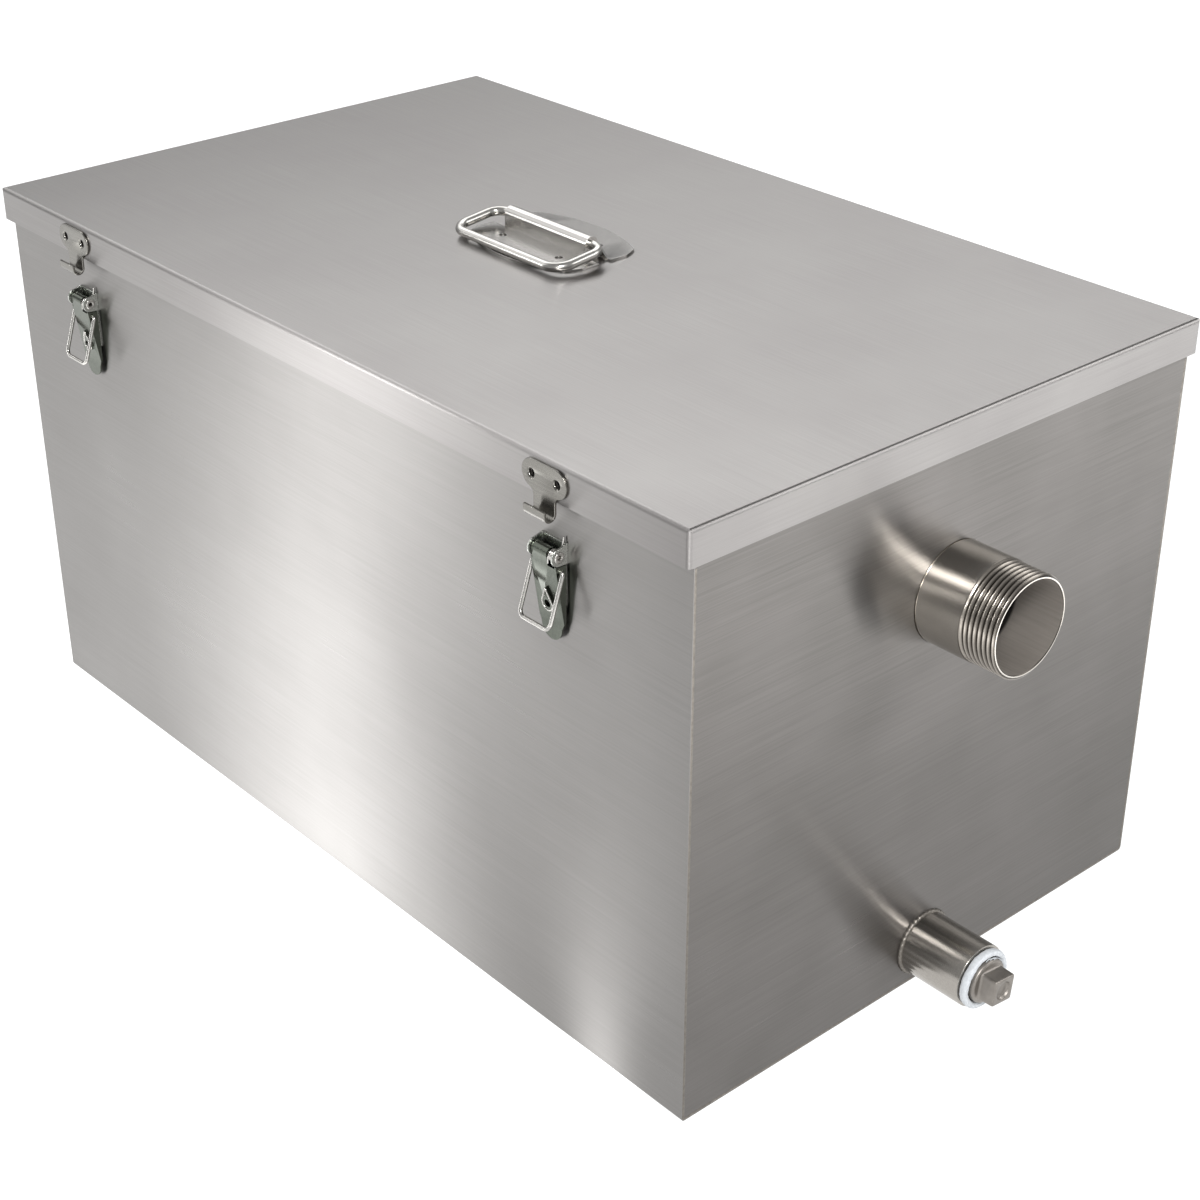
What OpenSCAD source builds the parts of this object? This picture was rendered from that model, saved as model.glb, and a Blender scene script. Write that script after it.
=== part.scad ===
// Grease trap: a sheet-steel tank with a clamped lid, a strainer basket and two baffles.
// X runs from inlet to outlet, the front faces -Y, and the base stands on z = 0. Sizes are in mm.

/* [Tank] */
// Length between the outer faces of the end plates
tank_l = 650; // [600:1:720]
// Width between the outer faces of the long walls
tank_w = 386; // [360:1:420]
// Height of the rim above the base
tank_h = 360; // [345:1:400]
// Thickness of the sheet
sheet_t = 1.2; // [0.9:0.1:1.4]
// Outside radius of the folds
fold_r = 2.4; // [2:0.1:3.2]
// How far the folded rim stands out of the long walls
rim_out = 4; // [3.6:0.1:5]
// Height of the folded rim
rim_h = 12; // [8:0.5:15]
// Outside radius of the rim's folds
rim_r = 1.8; // [1.6:0.1:2]
// Width of the seat folded in at the top of each end plate
end_seat = 14; // [12:0.5:20]

/* [Lid] */
// Height of the lid's skirt
skirt_h = 21; // [18:0.5:23]
// Gap between the skirt and the folded rim
lid_gap_y = 0.5; // [0.4:0.1:1]
// Gap between the skirt and the end plates
lid_gap_x = 1; // [0.6:0.1:2]
// Thickness of the gasket
gasket_t = 2; // [1.5:0.1:3]
// Width of the gasket
gasket_w = 12; // [10:0.5:14]
// Gap between the gasket's edge and the skirt
gasket_gap = 1.6; // [1.5:0.1:2]

/* [Lid handle] */
// Place of the handle along the lid
handle_x = -10; // [-40:1:40]
// Place of the handle across the lid
handle_y = 3; // [-20:0.5:20]
// Length of the handle plate
handle_plate_l = 100; // [96:1:110]
// Width of the handle plate
handle_plate_w = 77; // [72:1:90]
// Radius of the plate's long edges
handle_edge_r = 104; // [95:1:120]
// Radius that trims the plate's corners
handle_corner_r = 53; // [52:0.5:56]
// Thickness of the handle plate
handle_plate_t = 1.5; // [1:0.1:2]
// Height of the barrel's axis above the lid
handle_axis_h = 9; // [8:0.1:10]
// Outside radius of the barrel
handle_barrel_r = 5; // [4.8:0.1:6]
// Length of the barrel
handle_barrel_l = 76; // [70:1:78]
// Diameter of the bail wire
handle_wire_d = 6; // [5:0.1:6.4]
// Running clearance of the wire in the barrel, on the radius
handle_fit = 0.08; // [0.02:0.01:0.1]
// Width between the centre lines of the bail's arms
handle_bail_w = 99; // [97:0.5:102]
// Distance from the barrel to the bail's front bar
handle_bail_d = 37; // [34:0.5:40]
// Bend radius at the barrel
handle_back_r = 10; // [7:0.5:10]
// Bend radius at the front bar
handle_front_r = 11; // [8:0.5:14]
// Gap under the bail's front bar at rest
handle_rest_gap = 0.3; // [0.2:0.05:0.6]
// Diameter of the plate's four holes
handle_hole_d = 5; // [3:0.1:6]
// Spacing of the holes along the plate
handle_hole_l = 53; // [40:1:56]
// Spacing of the holes across the plate
handle_hole_w = 32; // [26:1:44]
// Width of the open notch at each end of the barrel
handle_notch_w = 9.4; // [9:0.1:10]
// Distance of the stop lugs' feet from the ends of the plate
stop_inset = 1.7; // [1:0.1:4]

/* [Pipes] */
// Height of the pipes' axis above the base
pipe_z = 258.5; // [250:0.5:270]
// Outside diameter of the pipes
pipe_od = 60.3; // [60.1:0.1:61]
// Wall thickness of the pipes
pipe_wall = 3; // [2.5:0.1:3.5]
// Outside diameter of the pipes' threads
thread_od = 59.6; // [58.5:0.1:60]
// Length of the threads
thread_l = 28.5; // [20:0.5:36]
// How far the pipes stand out of the ends
pipe_out = 53; // [40:1:80]
// How far the inlet pipe stands in
inlet_in = 7; // [5:0.5:8]
// How far the outlet pipe stands in, to take the elbow
outlet_in = 26; // [20:0.5:30]
// Chamfer at the free end of each pipe
pipe_chamfer = 1; // [0.5:0.1:1.5]
// Gap round a pipe in its hole, filled by the weld
weld_gap = 0.1; // [0.05:0.05:0.3]
// Leg of the weld fillets
weld_leg = 2.4; // [1.5:0.1:2.6]

/* [Drain] */
// Height of the drain's axis above the base
drain_z = 24.5; // [23.2:0.1:40]
// Outside diameter of the socket
drain_od = 39.4; // [38.4:0.1:40.6]
// How far the socket stands out of the end plate
drain_out = 43.4; // [36:0.1:60]
// Diameter of the plug's threaded shank
plug_d = 30; // [28:0.1:31]
// Clearance of the shank in the socket, on the radius
plug_fit = 0.08; // [0.02:0.01:0.1]
// Length of the threaded shank
plug_shank_l = 16; // [12:0.5:20]
// Diameter of the plug's collar
collar_d = 28; // [26:0.5:29]
// How far the collar stands out of the socket
collar_l = 7.2; // [6.6:0.1:9]
// Width across the flats of the square head
head_af = 16.8; // [14:0.1:18]
// Length of the square head
head_l = 10.8; // [9:0.1:16]
// Turn of the square head about its axis, in degrees
head_turn = -7; // [-45:1:45]
// Diameter of the dish in the head's end
dish_d = 11; // [6:0.5:12]
// Depth of the dish
dish_h = 1.6; // [0.5:0.1:3]
// Outside diameter of the bunched tape
tape_od = 38; // [36:0.1:38.4]
// Gap between the tape and the collar
tape_gap = 0.4; // [0.3:0.1:0.8]
// Length of the bunched tape
tape_l = 5.6; // [4:0.1:6]
// Worn edge of the bunched tape
tape_edge = 1.8; // [0.5:0.1:2]

/* [Strikes] */
// Distance of the strikes and latches from the ends of the tank
latch_inset = 96; // [75:1:140]
// How far the whole set of strikes and latches stands off the middle, towards the inlet
latch_shift = 5; // [0:0.5:12]
// Thickness of a strike
strike_t = 1.4; // [1:0.1:1.6]
// Width of a strike's plate
strike_w = 34; // [32:0.5:38]
// Radius of the plate's rounded sides
strike_lobe_r = 8; // [7.5:0.1:8.5]
// Distance of the plate's top below the lid's top
strike_inset = 2.6; // [2.5:0.1:5]
// Width of the neck and hook
strike_neck_w = 16.4; // [15:0.1:17]
// Radius of the hollow shoulders
strike_fillet_r = 4; // [3:0.1:4.5]
// Inside radius of the hook
hook_r = 2.7; // [2.2:0.1:3]
// Distance of the hook's underside below the lid's top
hook_drop = 31.2; // [31:0.1:33]
// Height of the hook's lip above the middle of its bend
hook_lip = 2.8; // [1.5:0.1:3]
// Spacing of the strike's two holes
strike_hole_gap = 19.6; // [18:0.1:20]
// Diameter of the strike's holes
strike_hole_d = 4.4; // [3:0.1:5]
// Diameter of the countersink
strike_sink_d = 6; // [5.2:0.1:7]
// Depth of the countersink
strike_sink_h = 0.7; // [0.4:0.1:0.8]

/* [Latches] */
// Width of a latch over its ears
latch_w = 19.6; // [19.2:0.1:21]
// Thickness of the latch sheet
latch_t = 1; // [0.8:0.1:1.1]
// Distance of the rivet below the rim
rivet_drop = 48.2; // [47:0.1:52]
// Distance of the rivet from the wall
rivet_out = 5.6; // [5.4:0.1:5.9]
// Outside radius of the hollow rivet
rivet_r = 2; // [1.6:0.1:2.1]
// Wall thickness of the hollow rivet
rivet_wall = 0.8; // [0.5:0.1:1]
// Radius of the rivet's rolled heads
rivet_head_r = 3.2; // [2.8:0.1:3.6]
// Thickness of the rivet's rolled heads
rivet_head_t = 0.5; // [0.4:0.1:0.8]
// Running clearance of rivet and bail in their holes, on the radius
latch_fit = 0.06; // [0.02:0.01:0.1]
// Radius of the bracket's ears
ear_r = 5; // [4.8:0.1:5.1]
// Gap between the ears and the lever's cheeks
ear_gap = 0.4; // [0.3:0.1:0.5]
// Length of the bracket above the rivet
bracket_up = 6.4; // [5.4:0.1:7]
// Length of the bracket below the rivet
bracket_down = 30; // [20:0.5:32]
// Radius of the lever's rolled barrel
barrel_r = 3.4; // [3.2:0.1:3.5]
// Room beside the barrel for the spring
spring_room = 5.4; // [5.2:0.1:6]
// Length of the lever's sloping face below the rivet
lever_face = 39.8; // [38:0.1:44]
// Distance of the foot of that face from the wall
lever_foot_out = 2.8; // [2.6:0.1:3.2]
// Length of the lever's flat tongue
tongue_l = 12; // [10:0.5:16]
// Radius of the tongue's rounded end
tongue_r = 8; // [7.5:0.1:9]
// Gap behind the lever's cheeks
cheek_gap = 0.3; // [0.2:0.05:0.5]
// Distance of the bail's holes below the rivet
bail_hole_drop = 8.2; // [8:0.1:9]
// Distance of the bail's holes from the wall
bail_hole_out = 5; // [4.6:0.1:5.1]
// Diameter of the bail wire
bail_wire_d = 2.4; // [2:0.1:2.5]
// Gap between the bail's arms and the rivet's heads
bail_gap = 0.4; // [0.3:0.05:0.6]
// How far the bail's ends stand inside the cheeks
bail_inside = 1; // [0.6:0.1:2]
// Bend radius of the bail's corners
bail_corner_r = 4; // [2:0.1:4]
// Lean of the hanging bail away from the wall, in degrees
bail_lean = 18; // [15:1:30]
// Radius of the lever's raised eye
eye_r = 4.4; // [4:0.1:5]
// Length of the eye's tapering tail
eye_tail = 10; // [8:0.5:12]
// Height of the raised eye
eye_h = 1.3; // [0.6:0.1:1.6]
// Diameter of the hole in the eye
eye_hole_d = 4.6; // [3:0.1:5]
// Height of the eye above the lever's foot
eye_up = 10; // [8:0.5:12]
// Diameter of the spring wire
spring_d = 0.9; // [0.7:0.05:1]
// Length of the spring's leg that stands up
spring_leg = 9.6; // [6:0.1:11]

/* [Inside] */
// Gap between the basket's rim and the inlet baffle
basket_baffle_gap = 6; // [4:0.5:20]
// Gap between the basket's sides and the long walls
basket_side = 16.8; // [16:0.1:18]
// Height of the strainer basket
basket_h = 158; // [120:1:170]
// Width of the basket's rim
basket_rim = 12; // [11:0.5:12.5]
// Distance of the basket's rim below the pipe
basket_drop = 6.35; // [5:0.05:15]
// Gap between the basket's rim and the inlet end plate
basket_end_gap = 3.8; // [2.5:0.1:5]
// Width of the basket's slots
slot_w = 7; // [4:0.5:10]
// Number of slots in each long wall and in the base
slot_rows = 13; // [8:1:14]
// Number of slots in each short wall
slot_cols = 6; // [4:1:7]
// Plain border left round the slots
slot_border = 22; // [16:1:26]
// Diameter of the basket's handle wire
lift_wire_d = 5; // [4:0.1:6]
// Running clearance of that wire in the lugs, on the radius
lift_fit = 0.08; // [0.02:0.01:0.1]
// Gap between that wire and the basket
lift_gap = 0.5; // [0.4:0.1:1]
// Reach of the basket's handle
lift_reach = 100; // [80:1:105]
// Length of that handle's turned-in ends
lift_end = 10; // [8:0.5:14]
// Bend radius of the basket's handle
lift_bend_r = 20; // [12:1:30]
// Width of a handle lug
lug_w = 20; // [16:0.5:30]
// Height of a handle lug above the rim
lug_h = 10; // [9:0.5:12]
// Width of the ledges under the basket
ledge_w = 14; // [13:0.5:14.5]
// Distance of the inlet baffle from the inlet end
baffle_in_x = 215; // [214:1:240]
// Distance of the outlet baffle from the outlet end
baffle_out_x = 135; // [132:1:160]
// Distance of the baffles' tops below the rim
baffle_drop = 30; // [15:1:60]
// Flow gap under the inlet baffle
baffle_in_gap = 70; // [40:1:100]
// Flow gap under the outlet baffle
baffle_out_gap = 55; // [40:1:100]
// Width of the baffles' side flanges
baffle_flange = 14; // [10:0.5:20]
// Wall thickness of the outlet elbow
elbow_wall = 3; // [2:0.1:4]
// Bend radius of the outlet elbow
elbow_r = 45; // [40:1:50]
// Height of the elbow's mouth above the base
elbow_mouth_z = 115; // [90:1:140]
// Gap between the elbow and the end plate
elbow_gap = 4; // [3:0.1:6]
// Clearance of the elbow on the pipe, on the radius
elbow_fit = 0.1; // [0.05:0.05:0.3]

/* [Hidden] */
$fn = 64;
over = 1;
steel = [0.74, 0.75, 0.76];
bright = [0.84, 0.85, 0.86];
inner_w = tank_w - 2 * sheet_t;
inner_r = fold_r - sheet_t;
end_x = tank_l / 2;
lid_top = tank_h + gasket_t + sheet_t;
lid_l = tank_l + 2 * (lid_gap_x + sheet_t);
lid_w = tank_w + 2 * (rim_out + lid_gap_y + sheet_t);
skirt_out = (lid_w - tank_w) / 2;
latch_x = end_x - latch_inset;
pipe_r = pipe_od / 2;
thread_r = thread_od / 2;
bore_r = pipe_r - pipe_wall;
handle_wire_r = handle_wire_d / 2;
handle_tilt = asin((handle_axis_h - handle_plate_t - handle_wire_r - handle_rest_gap) / handle_bail_d);
rivet_z = tank_h - rivet_drop;
bail_r = bail_wire_d / 2;
bail_z = rivet_z - bail_hole_drop;
bail_arm_x = latch_w / 2 + rivet_head_t + bail_gap + bail_r;
bail_end = bail_arm_x - latch_w / 2 + latch_t + bail_inside;
hook_z = lid_top - hook_drop + strike_t + hook_r;
hook_out = skirt_out + strike_t + hook_r;
seat_z = hook_z - hook_r + bail_r;
// The bail is as long as the way from its closed pivot to its seat in the hook.
bail_len = norm([hook_out - bail_hole_out, seat_z - bail_z]);
lever_slope = atan((rivet_out + barrel_r - lever_foot_out) / lever_face);
lever_foot_z = rivet_z - lever_face;
cheek_in = latch_t + cheek_gap;
face_top = rivet_z - ear_r - ear_gap - latch_t / 2;
spring_run = spring_room - 2 * ear_gap - spring_d;
coil_r = rivet_r + latch_fit + ear_gap + spring_d / 2;
strike_z = lid_top - strike_inset - strike_lobe_r;
strike_lobe_x = strike_w / 2 - strike_lobe_r;
shoulder_x = strike_neck_w / 2 + strike_fillet_r;
shoulder_drop = sqrt(pow(strike_lobe_r + strike_fillet_r, 2) - pow(shoulder_x - strike_lobe_x, 2));
basket_z = pipe_z - pipe_r - basket_drop;
basket_w = inner_w - 2 * basket_side;
basket_l = baffle_in_x - sheet_t - basket_end_gap - 2 * basket_rim - basket_baffle_gap;
basket_x = basket_end_gap + sheet_t + basket_rim + basket_l / 2 - end_x;
lift_r = lift_wire_d / 2;
lift_z = basket_z + lift_r + lift_gap;
lift_x = basket_l / 2 + lift_gap + lift_r;
elbow_x = end_x - sheet_t - elbow_gap - outlet_in;
elbow_bore = pipe_r + elbow_fit;

// A flat outline (across, up) drawn out along X.
module along_x(l) {
    rotate([90, 0, 90])
        linear_extrude(height = l, center = true)
            children();
}

// A flat outline (along, up) drawn out along Y.
module along_y(l) {
    rotate([90, 0, 0])
        linear_extrude(height = l, center = true)
            children();
}

// A rectangle that stands on the origin, with its two lower corners rounded.
module tub(w, h, r) {
    translate([-w / 2, r])
        square([w, h - r]);
    translate([r - w / 2, 0])
        square([w - 2 * r, h]);
    for (s = [-1, 1])
        translate([s * (w / 2 - r), r])
            circle(r);
}

// A sheet folded up at both sides.
module channel(w, h, r) {
    difference() {
        tub(w, h, r);
        translate([0, sheet_t])
            tub(w - 2 * sheet_t, h, r - sheet_t);
    }
}

// A box with rounded top edges and upright corners, its top at z = 0.
module lid_block(l, w, h, r) {
    intersection() {
        along_y(w)
            mirror([0, 1])
                tub(l, h, r);
        along_x(l)
            mirror([0, 1])
                tub(w, h, r);
        translate([0, 0, -h])
            linear_extrude(height = h) {
                square([l - 2 * r, w], center = true);
                square([l, w - 2 * r], center = true);
                for (x = [-1, 1], y = [-1, 1])
                    translate([x * (l / 2 - r), y * (w / 2 - r)])
                        circle(r);
            }
    }
}

// A quarter bend of round wire or tube, from +X towards +Y.
module bend(r, wire_r) {
    rotate_extrude(angle = 90)
        translate([r, 0])
            circle(wire_r);
}

// A straight wire along X, from one place to another.
module wire_x(from, to, wire_r) {
    translate([from, 0, 0])
        rotate([0, 90, 0])
            cylinder(r = wire_r, h = to - from);
}

// A straight wire along -Y, from one place to another.
module wire_y(from, to, wire_r) {
    translate([0, -from, 0])
        rotate([90, 0, 0])
            cylinder(r = wire_r, h = to - from);
}

// Places a piece that is drawn on the front wall, with its wall at y = 0: fl, fr, bl or br.
module at_wall(x, y, out) {
    translate([x * latch_x - latch_shift, y * (tank_w / 2 + out), 0])
        rotate([0, 0, y > 0 ? 180 : 0])
            children();
}

// A flat outline (out of the wall, up) drawn out along X.
module slab(w, x = 0) {
    translate([x, 0, 0])
        rotate([90, 0, -90])
            linear_extrude(height = w, center = true)
                children();
}

// A flat outline (along, up) that stands out of the wall.
module on_wall(t) {
    rotate([90, 0, 0])
        linear_extrude(height = t)
            children();
}

// Front wall, base and back wall in one folded sheet, with the rims folded out.
module tank_wrap() {
    color(steel)
        along_x(tank_l) {
            channel(tank_w, tank_h - rim_r, fold_r);
            for (s = [-1, 1])
                translate([s * (tank_w + rim_out - sheet_t) / 2, tank_h])
                    mirror([0, 1])
                        channel(rim_out + sheet_t, rim_h, rim_r);
        }
}

// An end plate welded between the walls, with its top folded in as a seat.
module end_plate() {
    intersection() {
        along_y(tank_w)
            translate([end_x - tank_h, 0])
                intersection() {
                    mirror([0, 1])
                        translate([0, -tank_h])
                            channel(2 * tank_h, tank_h, fold_r);
                    translate([tank_h - end_seat, 0])
                        square([end_seat, tank_h]);
                }
        along_x(tank_l + 2 * over)
            translate([0, sheet_t])
                tub(inner_w, tank_h - sheet_t, inner_r);
    }
}

module pipe_hole() {
    translate([0, 0, pipe_z])
        wire_x(0, tank_l, pipe_r + weld_gap);
}

module inlet_end_plate() {
    color(steel)
        rotate([0, 0, 180])
            difference() {
                end_plate();
                pipe_hole();
            }
}

module outlet_end_plate() {
    color(steel)
        difference() {
            end_plate();
            pipe_hole();
            translate([0, 0, drain_z])
                wire_x(0, tank_l, drain_od / 2 + weld_gap);
        }
}

// A pipe along +X through the plate at x = 0, welded on the inside and threaded at its free end.
module pipe(inside) {
    rotate([90, 0, 90])
        rotate_extrude()
            polygon([
                [bore_r, -sheet_t - inside],
                [pipe_r, -sheet_t - inside],
                [pipe_r, -sheet_t - weld_leg],
                [pipe_r + weld_leg, -sheet_t],
                [pipe_r, -sheet_t],
                [pipe_r, pipe_out - thread_l],
                [thread_r, pipe_out - thread_l],
                [thread_r, pipe_out - pipe_chamfer],
                [thread_r - pipe_chamfer, pipe_out],
                [bore_r, pipe_out]
            ]);
}

module inlet_pipe() {
    color(bright)
        rotate([0, 0, 180])
            translate([end_x, 0, pipe_z])
                pipe(inlet_in);
}

module outlet_pipe() {
    color(bright)
        translate([end_x, 0, pipe_z])
            pipe(outlet_in);
}

// A slip-on elbow that takes water from below the grease.
module outlet_elbow() {
    color(steel)
        difference() {
            elbow_run(elbow_bore + elbow_wall, 0);
            elbow_run(elbow_bore, over);
        }
}

module elbow_run(r, past) {
    translate([elbow_x, 0, pipe_z])
        wire_x(0, outlet_in + past, r);
    translate([elbow_x, 0, pipe_z - elbow_r])
        rotate([0, -90, 0])
            rotate([90, 0, 0])
                bend(elbow_r, r);
    translate([elbow_x - elbow_r, 0, elbow_mouth_z - past])
        cylinder(r = r, h = pipe_z - elbow_r - elbow_mouth_z + past);
}

// A baffle that hangs between the long walls, flanged where it meets them.
module baffle(gap) {
    translate([0, 0, gap])
        linear_extrude(height = tank_h - baffle_drop - gap)
            rotate(-90)
                channel(inner_w, baffle_flange, fold_r);
}

module inlet_baffle() {
    color(steel)
        translate([baffle_in_x - end_x, 0, 0])
            baffle(baffle_in_gap);
}

module outlet_baffle() {
    color(steel)
        translate([end_x - baffle_out_x, 0, 0])
            rotate([0, 0, 180])
                baffle(baffle_out_gap);
}

// An angle on the back wall that carries one side of the basket's rim.
module ledge() {
    translate([basket_x, inner_w / 2, basket_z - sheet_t])
        along_x(basket_l)
            difference() {
                translate([-ledge_w, -ledge_w])
                    square(ledge_w);
                translate([-ledge_w - sheet_t, -ledge_w - sheet_t])
                    square(ledge_w);
            }
}

module front_ledge() {
    color(steel)
        mirror([0, 1, 0])
            ledge();
}

module back_ledge() {
    color(steel)
        ledge();
}

// Slots in a row along the first axis, centred on the origin.
module slots(count, run, length) {
    pitch = run / count;
    for (i = [0 : count - 1])
        translate([(i + 0.5) * pitch - run / 2, 0])
            square([slot_w, length], center = true);
}

// A slotted tray with a turned-out rim and two lugs for its handle.
module basket() {
    deep = basket_h - 2 * slot_border;
    color(bright)
        translate([basket_x, 0, basket_z])
            difference() {
                union() {
                    translate([-basket_l / 2, -basket_w / 2, -basket_h])
                        cube([basket_l, basket_w, basket_h]);
                    translate([-basket_l / 2 - basket_rim, -basket_w / 2 - basket_rim, -sheet_t])
                        cube([basket_l + 2 * basket_rim, basket_w + 2 * basket_rim, sheet_t]);
                    translate([-basket_l / 2, -lug_w / 2, -sheet_t])
                        cube([basket_l, lug_w, lug_h + sheet_t]);
                }
                translate([sheet_t - basket_l / 2, sheet_t - basket_w / 2, sheet_t - basket_h])
                    cube([basket_l - 2 * sheet_t, basket_w - 2 * sheet_t, basket_h + lug_h]);
                translate([0, 0, -basket_h - over])
                    linear_extrude(height = sheet_t + 2 * over)
                        rotate(90)
                            slots(slot_rows, basket_w - 2 * slot_border, basket_l - 2 * slot_border);
                translate([0, 0, -basket_h / 2]) {
                    along_x(basket_l + 2 * over)
                        slots(slot_rows, basket_w - 2 * slot_border, deep);
                    along_y(basket_w + 2 * over)
                        slots(slot_cols, basket_l - 2 * slot_border, deep);
                }
                translate([0, 0, lift_z - basket_z])
                    wire_x(-basket_l, basket_l, lift_r + lift_fit);
            }
}

// A wire handle that lies on the basket's rim, its ends turned in through the lugs.
module basket_handle() {
    color(bright)
        translate([basket_x, 0, lift_z]) {
            for (s = [-1, 1]) {
                translate([s * lift_x, 0, 0]) {
                    sphere(lift_r);
                    wire_y(0, lift_reach - lift_bend_r, lift_r);
                    wire_x(s > 0 ? -lift_end : 0, s > 0 ? 0 : lift_end, lift_r);
                }
                translate([s * (lift_x - lift_bend_r), lift_bend_r - lift_reach, 0])
                    rotate([0, 0, s > 0 ? -90 : 180])
                        bend(lift_bend_r, lift_r);
            }
            translate([0, -lift_reach, 0])
                wire_x(lift_bend_r - lift_x, lift_x - lift_bend_r, lift_r);
        }
}

// A socket welded to the end plate, inside and out.
module drain_socket() {
    r = drain_od / 2;
    color(steel)
        translate([end_x, 0, drain_z])
            rotate([90, 0, 90])
                rotate_extrude()
                    polygon([
                        [plug_d / 2 + plug_fit, -sheet_t],
                        [r, -sheet_t],
                        [r, 0],
                        [r + weld_leg, 0],
                        [r, weld_leg],
                        [r, drain_out],
                        [plug_d / 2 + plug_fit, drain_out]
                    ]);
}

// A plug with a square head, a round collar and a plain shank for its thread.
module drain_plug() {
    color(bright)
        translate([end_x + drain_out, 0, drain_z])
            difference() {
                union() {
                    wire_x(-plug_shank_l, 0, plug_d / 2);
                    wire_x(0, collar_l, collar_d / 2);
                    rotate([head_turn, 0, 0])
                        translate([collar_l, -head_af / 2, -head_af / 2])
                            cube([head_l, head_af, head_af]);
                }
                wire_x(collar_l + head_l - dish_h, collar_l + head_l + over, dish_d / 2);
            }
}

// Seal tape bunched up in front of the socket's mouth.
module drain_tape() {
    inner = collar_d / 2 + tape_gap;
    outer = tape_od / 2;
    color([0.95, 0.95, 0.94])
        translate([end_x + drain_out, 0, drain_z])
            rotate([90, 0, 90])
                rotate_extrude()
                    polygon([
                        [inner, 0],
                        [outer, 0],
                        [outer, tape_l - tape_edge],
                        [outer - tape_edge, tape_l],
                        [inner + tape_edge, tape_l],
                        [inner, tape_l - tape_edge]
                    ]);
}

// A shallow folded pan, open below, with holes behind the strikes.
module lid_pan() {
    color(steel)
        difference() {
            translate([0, 0, lid_top])
                difference() {
                    lid_block(lid_l, lid_w, skirt_h, fold_r);
                    translate([0, 0, -sheet_t])
                        lid_block(lid_l - 2 * sheet_t, lid_w - 2 * sheet_t, skirt_h, inner_r);
                }
            for (x = [-1, 1], s = [-1, 1])
                translate([x * latch_x - latch_shift + s * strike_hole_gap / 2, 0, strike_z])
                    rotate([90, 0, 0])
                        cylinder(d = strike_hole_d, h = lid_w + 2 * over, center = true);
        }
}

// A flat rubber ring under the lid, resting on the rim.
module lid_gasket() {
    l = lid_l - 2 * (sheet_t + gasket_gap);
    w = lid_w - 2 * (sheet_t + gasket_gap);
    color([0.12, 0.12, 0.13])
        translate([0, 0, tank_h])
            linear_extrude(height = gasket_t)
                difference() {
                    square([l, w], center = true);
                    square([l - 2 * gasket_w, w - 2 * gasket_w], center = true);
                }
}

// A plate with bowed edges and a raised barrel; a small lug behind each end stops the bail.
module handle_plate() {
    color(bright)
        translate([handle_x, handle_y, lid_top])
            difference() {
                union() {
                    linear_extrude(height = handle_plate_t)
                        handle_outline();
                    along_x(handle_barrel_l) {
                        translate([0, handle_axis_h])
                            circle(handle_barrel_r);
                        translate([-handle_barrel_r, 0])
                            square([2 * handle_barrel_r, handle_axis_h]);
                    }
                    translate([0, handle_notch_w / 2 + handle_plate_t / 2, 0])
                        along_y(handle_plate_t)
                            polygon([
                                [handle_plate_l / 2 - stop_inset, 0],
                                [handle_barrel_l / 2 - over, handle_axis_h],
                                [over - handle_barrel_l / 2, handle_axis_h],
                                [stop_inset - handle_plate_l / 2, 0]
                            ]);
                }
                translate([0, 0, handle_axis_h])
                    wire_x(-handle_plate_l, handle_plate_l, handle_wire_r + handle_fit);
                for (x = [-1, 1], y = [-1, 1])
                    translate([x * handle_hole_l / 2, y * handle_hole_w / 2, -over])
                        cylinder(d = handle_hole_d, h = handle_plate_t + 2 * over);
            }
}

// The plate's outline: bowed long edges, trimmed corners and a notch at each end.
module handle_outline() {
    rise = handle_edge_r - handle_plate_w / 2;
    difference() {
        intersection() {
            translate([0, rise])
                circle(handle_edge_r);
            translate([0, -rise])
                circle(handle_edge_r);
            circle(handle_corner_r);
            square([handle_plate_l, 2 * handle_plate_w], center = true);
        }
        for (s = [-1, 1])
            translate([s * (handle_barrel_l + handle_plate_l) / 2, 0])
                square([handle_plate_l, handle_notch_w], center = true);
    }
}

// A closed ring of wire that turns in the barrel and lies towards the front.
module handle_bail() {
    arm = handle_bail_w / 2;
    r = handle_wire_r;
    color(bright)
        translate([handle_x, handle_y, lid_top + handle_axis_h])
            rotate([handle_tilt, 0, 0]) {
                wire_x(handle_back_r - arm, arm - handle_back_r, r);
                translate([0, -handle_bail_d, 0])
                    wire_x(handle_front_r - arm, arm - handle_front_r, r);
                for (s = [-1, 1]) {
                    translate([s * arm, 0, 0])
                        wire_y(handle_back_r, handle_bail_d - handle_front_r, r);
                    translate([s * (arm - handle_back_r), -handle_back_r, 0])
                        rotate([0, 0, s > 0 ? 0 : 90])
                            bend(handle_back_r, r);
                    translate([s * (arm - handle_front_r), handle_front_r - handle_bail_d, 0])
                        rotate([0, 0, s > 0 ? -90 : 180])
                            bend(handle_front_r, r);
                }
            }
}

// A spade-shaped plate on the skirt, its neck turned out and up into a hook.
module strike() {
    color(bright) {
        difference() {
            on_wall(strike_t)
                translate([0, strike_z])
                    strike_outline();
            for (s = [-1, 1])
                translate([s * strike_hole_gap / 2, 0, strike_z])
                    rotate([90, 0, 0]) {
                        cylinder(d = strike_hole_d, h = 2 * (strike_t + over), center = true);
                        translate([0, 0, strike_t - strike_sink_h])
                            cylinder(d1 = strike_hole_d, d2 = strike_sink_d, h = strike_sink_h);
                    }
        }
        slab(strike_neck_w)
            translate([strike_t + hook_r, hook_z]) {
                difference() {
                    circle(hook_r + strike_t);
                    circle(hook_r);
                    translate([-hook_r - strike_t, 0])
                        square(2 * (hook_r + strike_t));
                }
                translate([hook_r, 0])
                    square([strike_t, hook_lip]);
            }
    }
}

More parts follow.
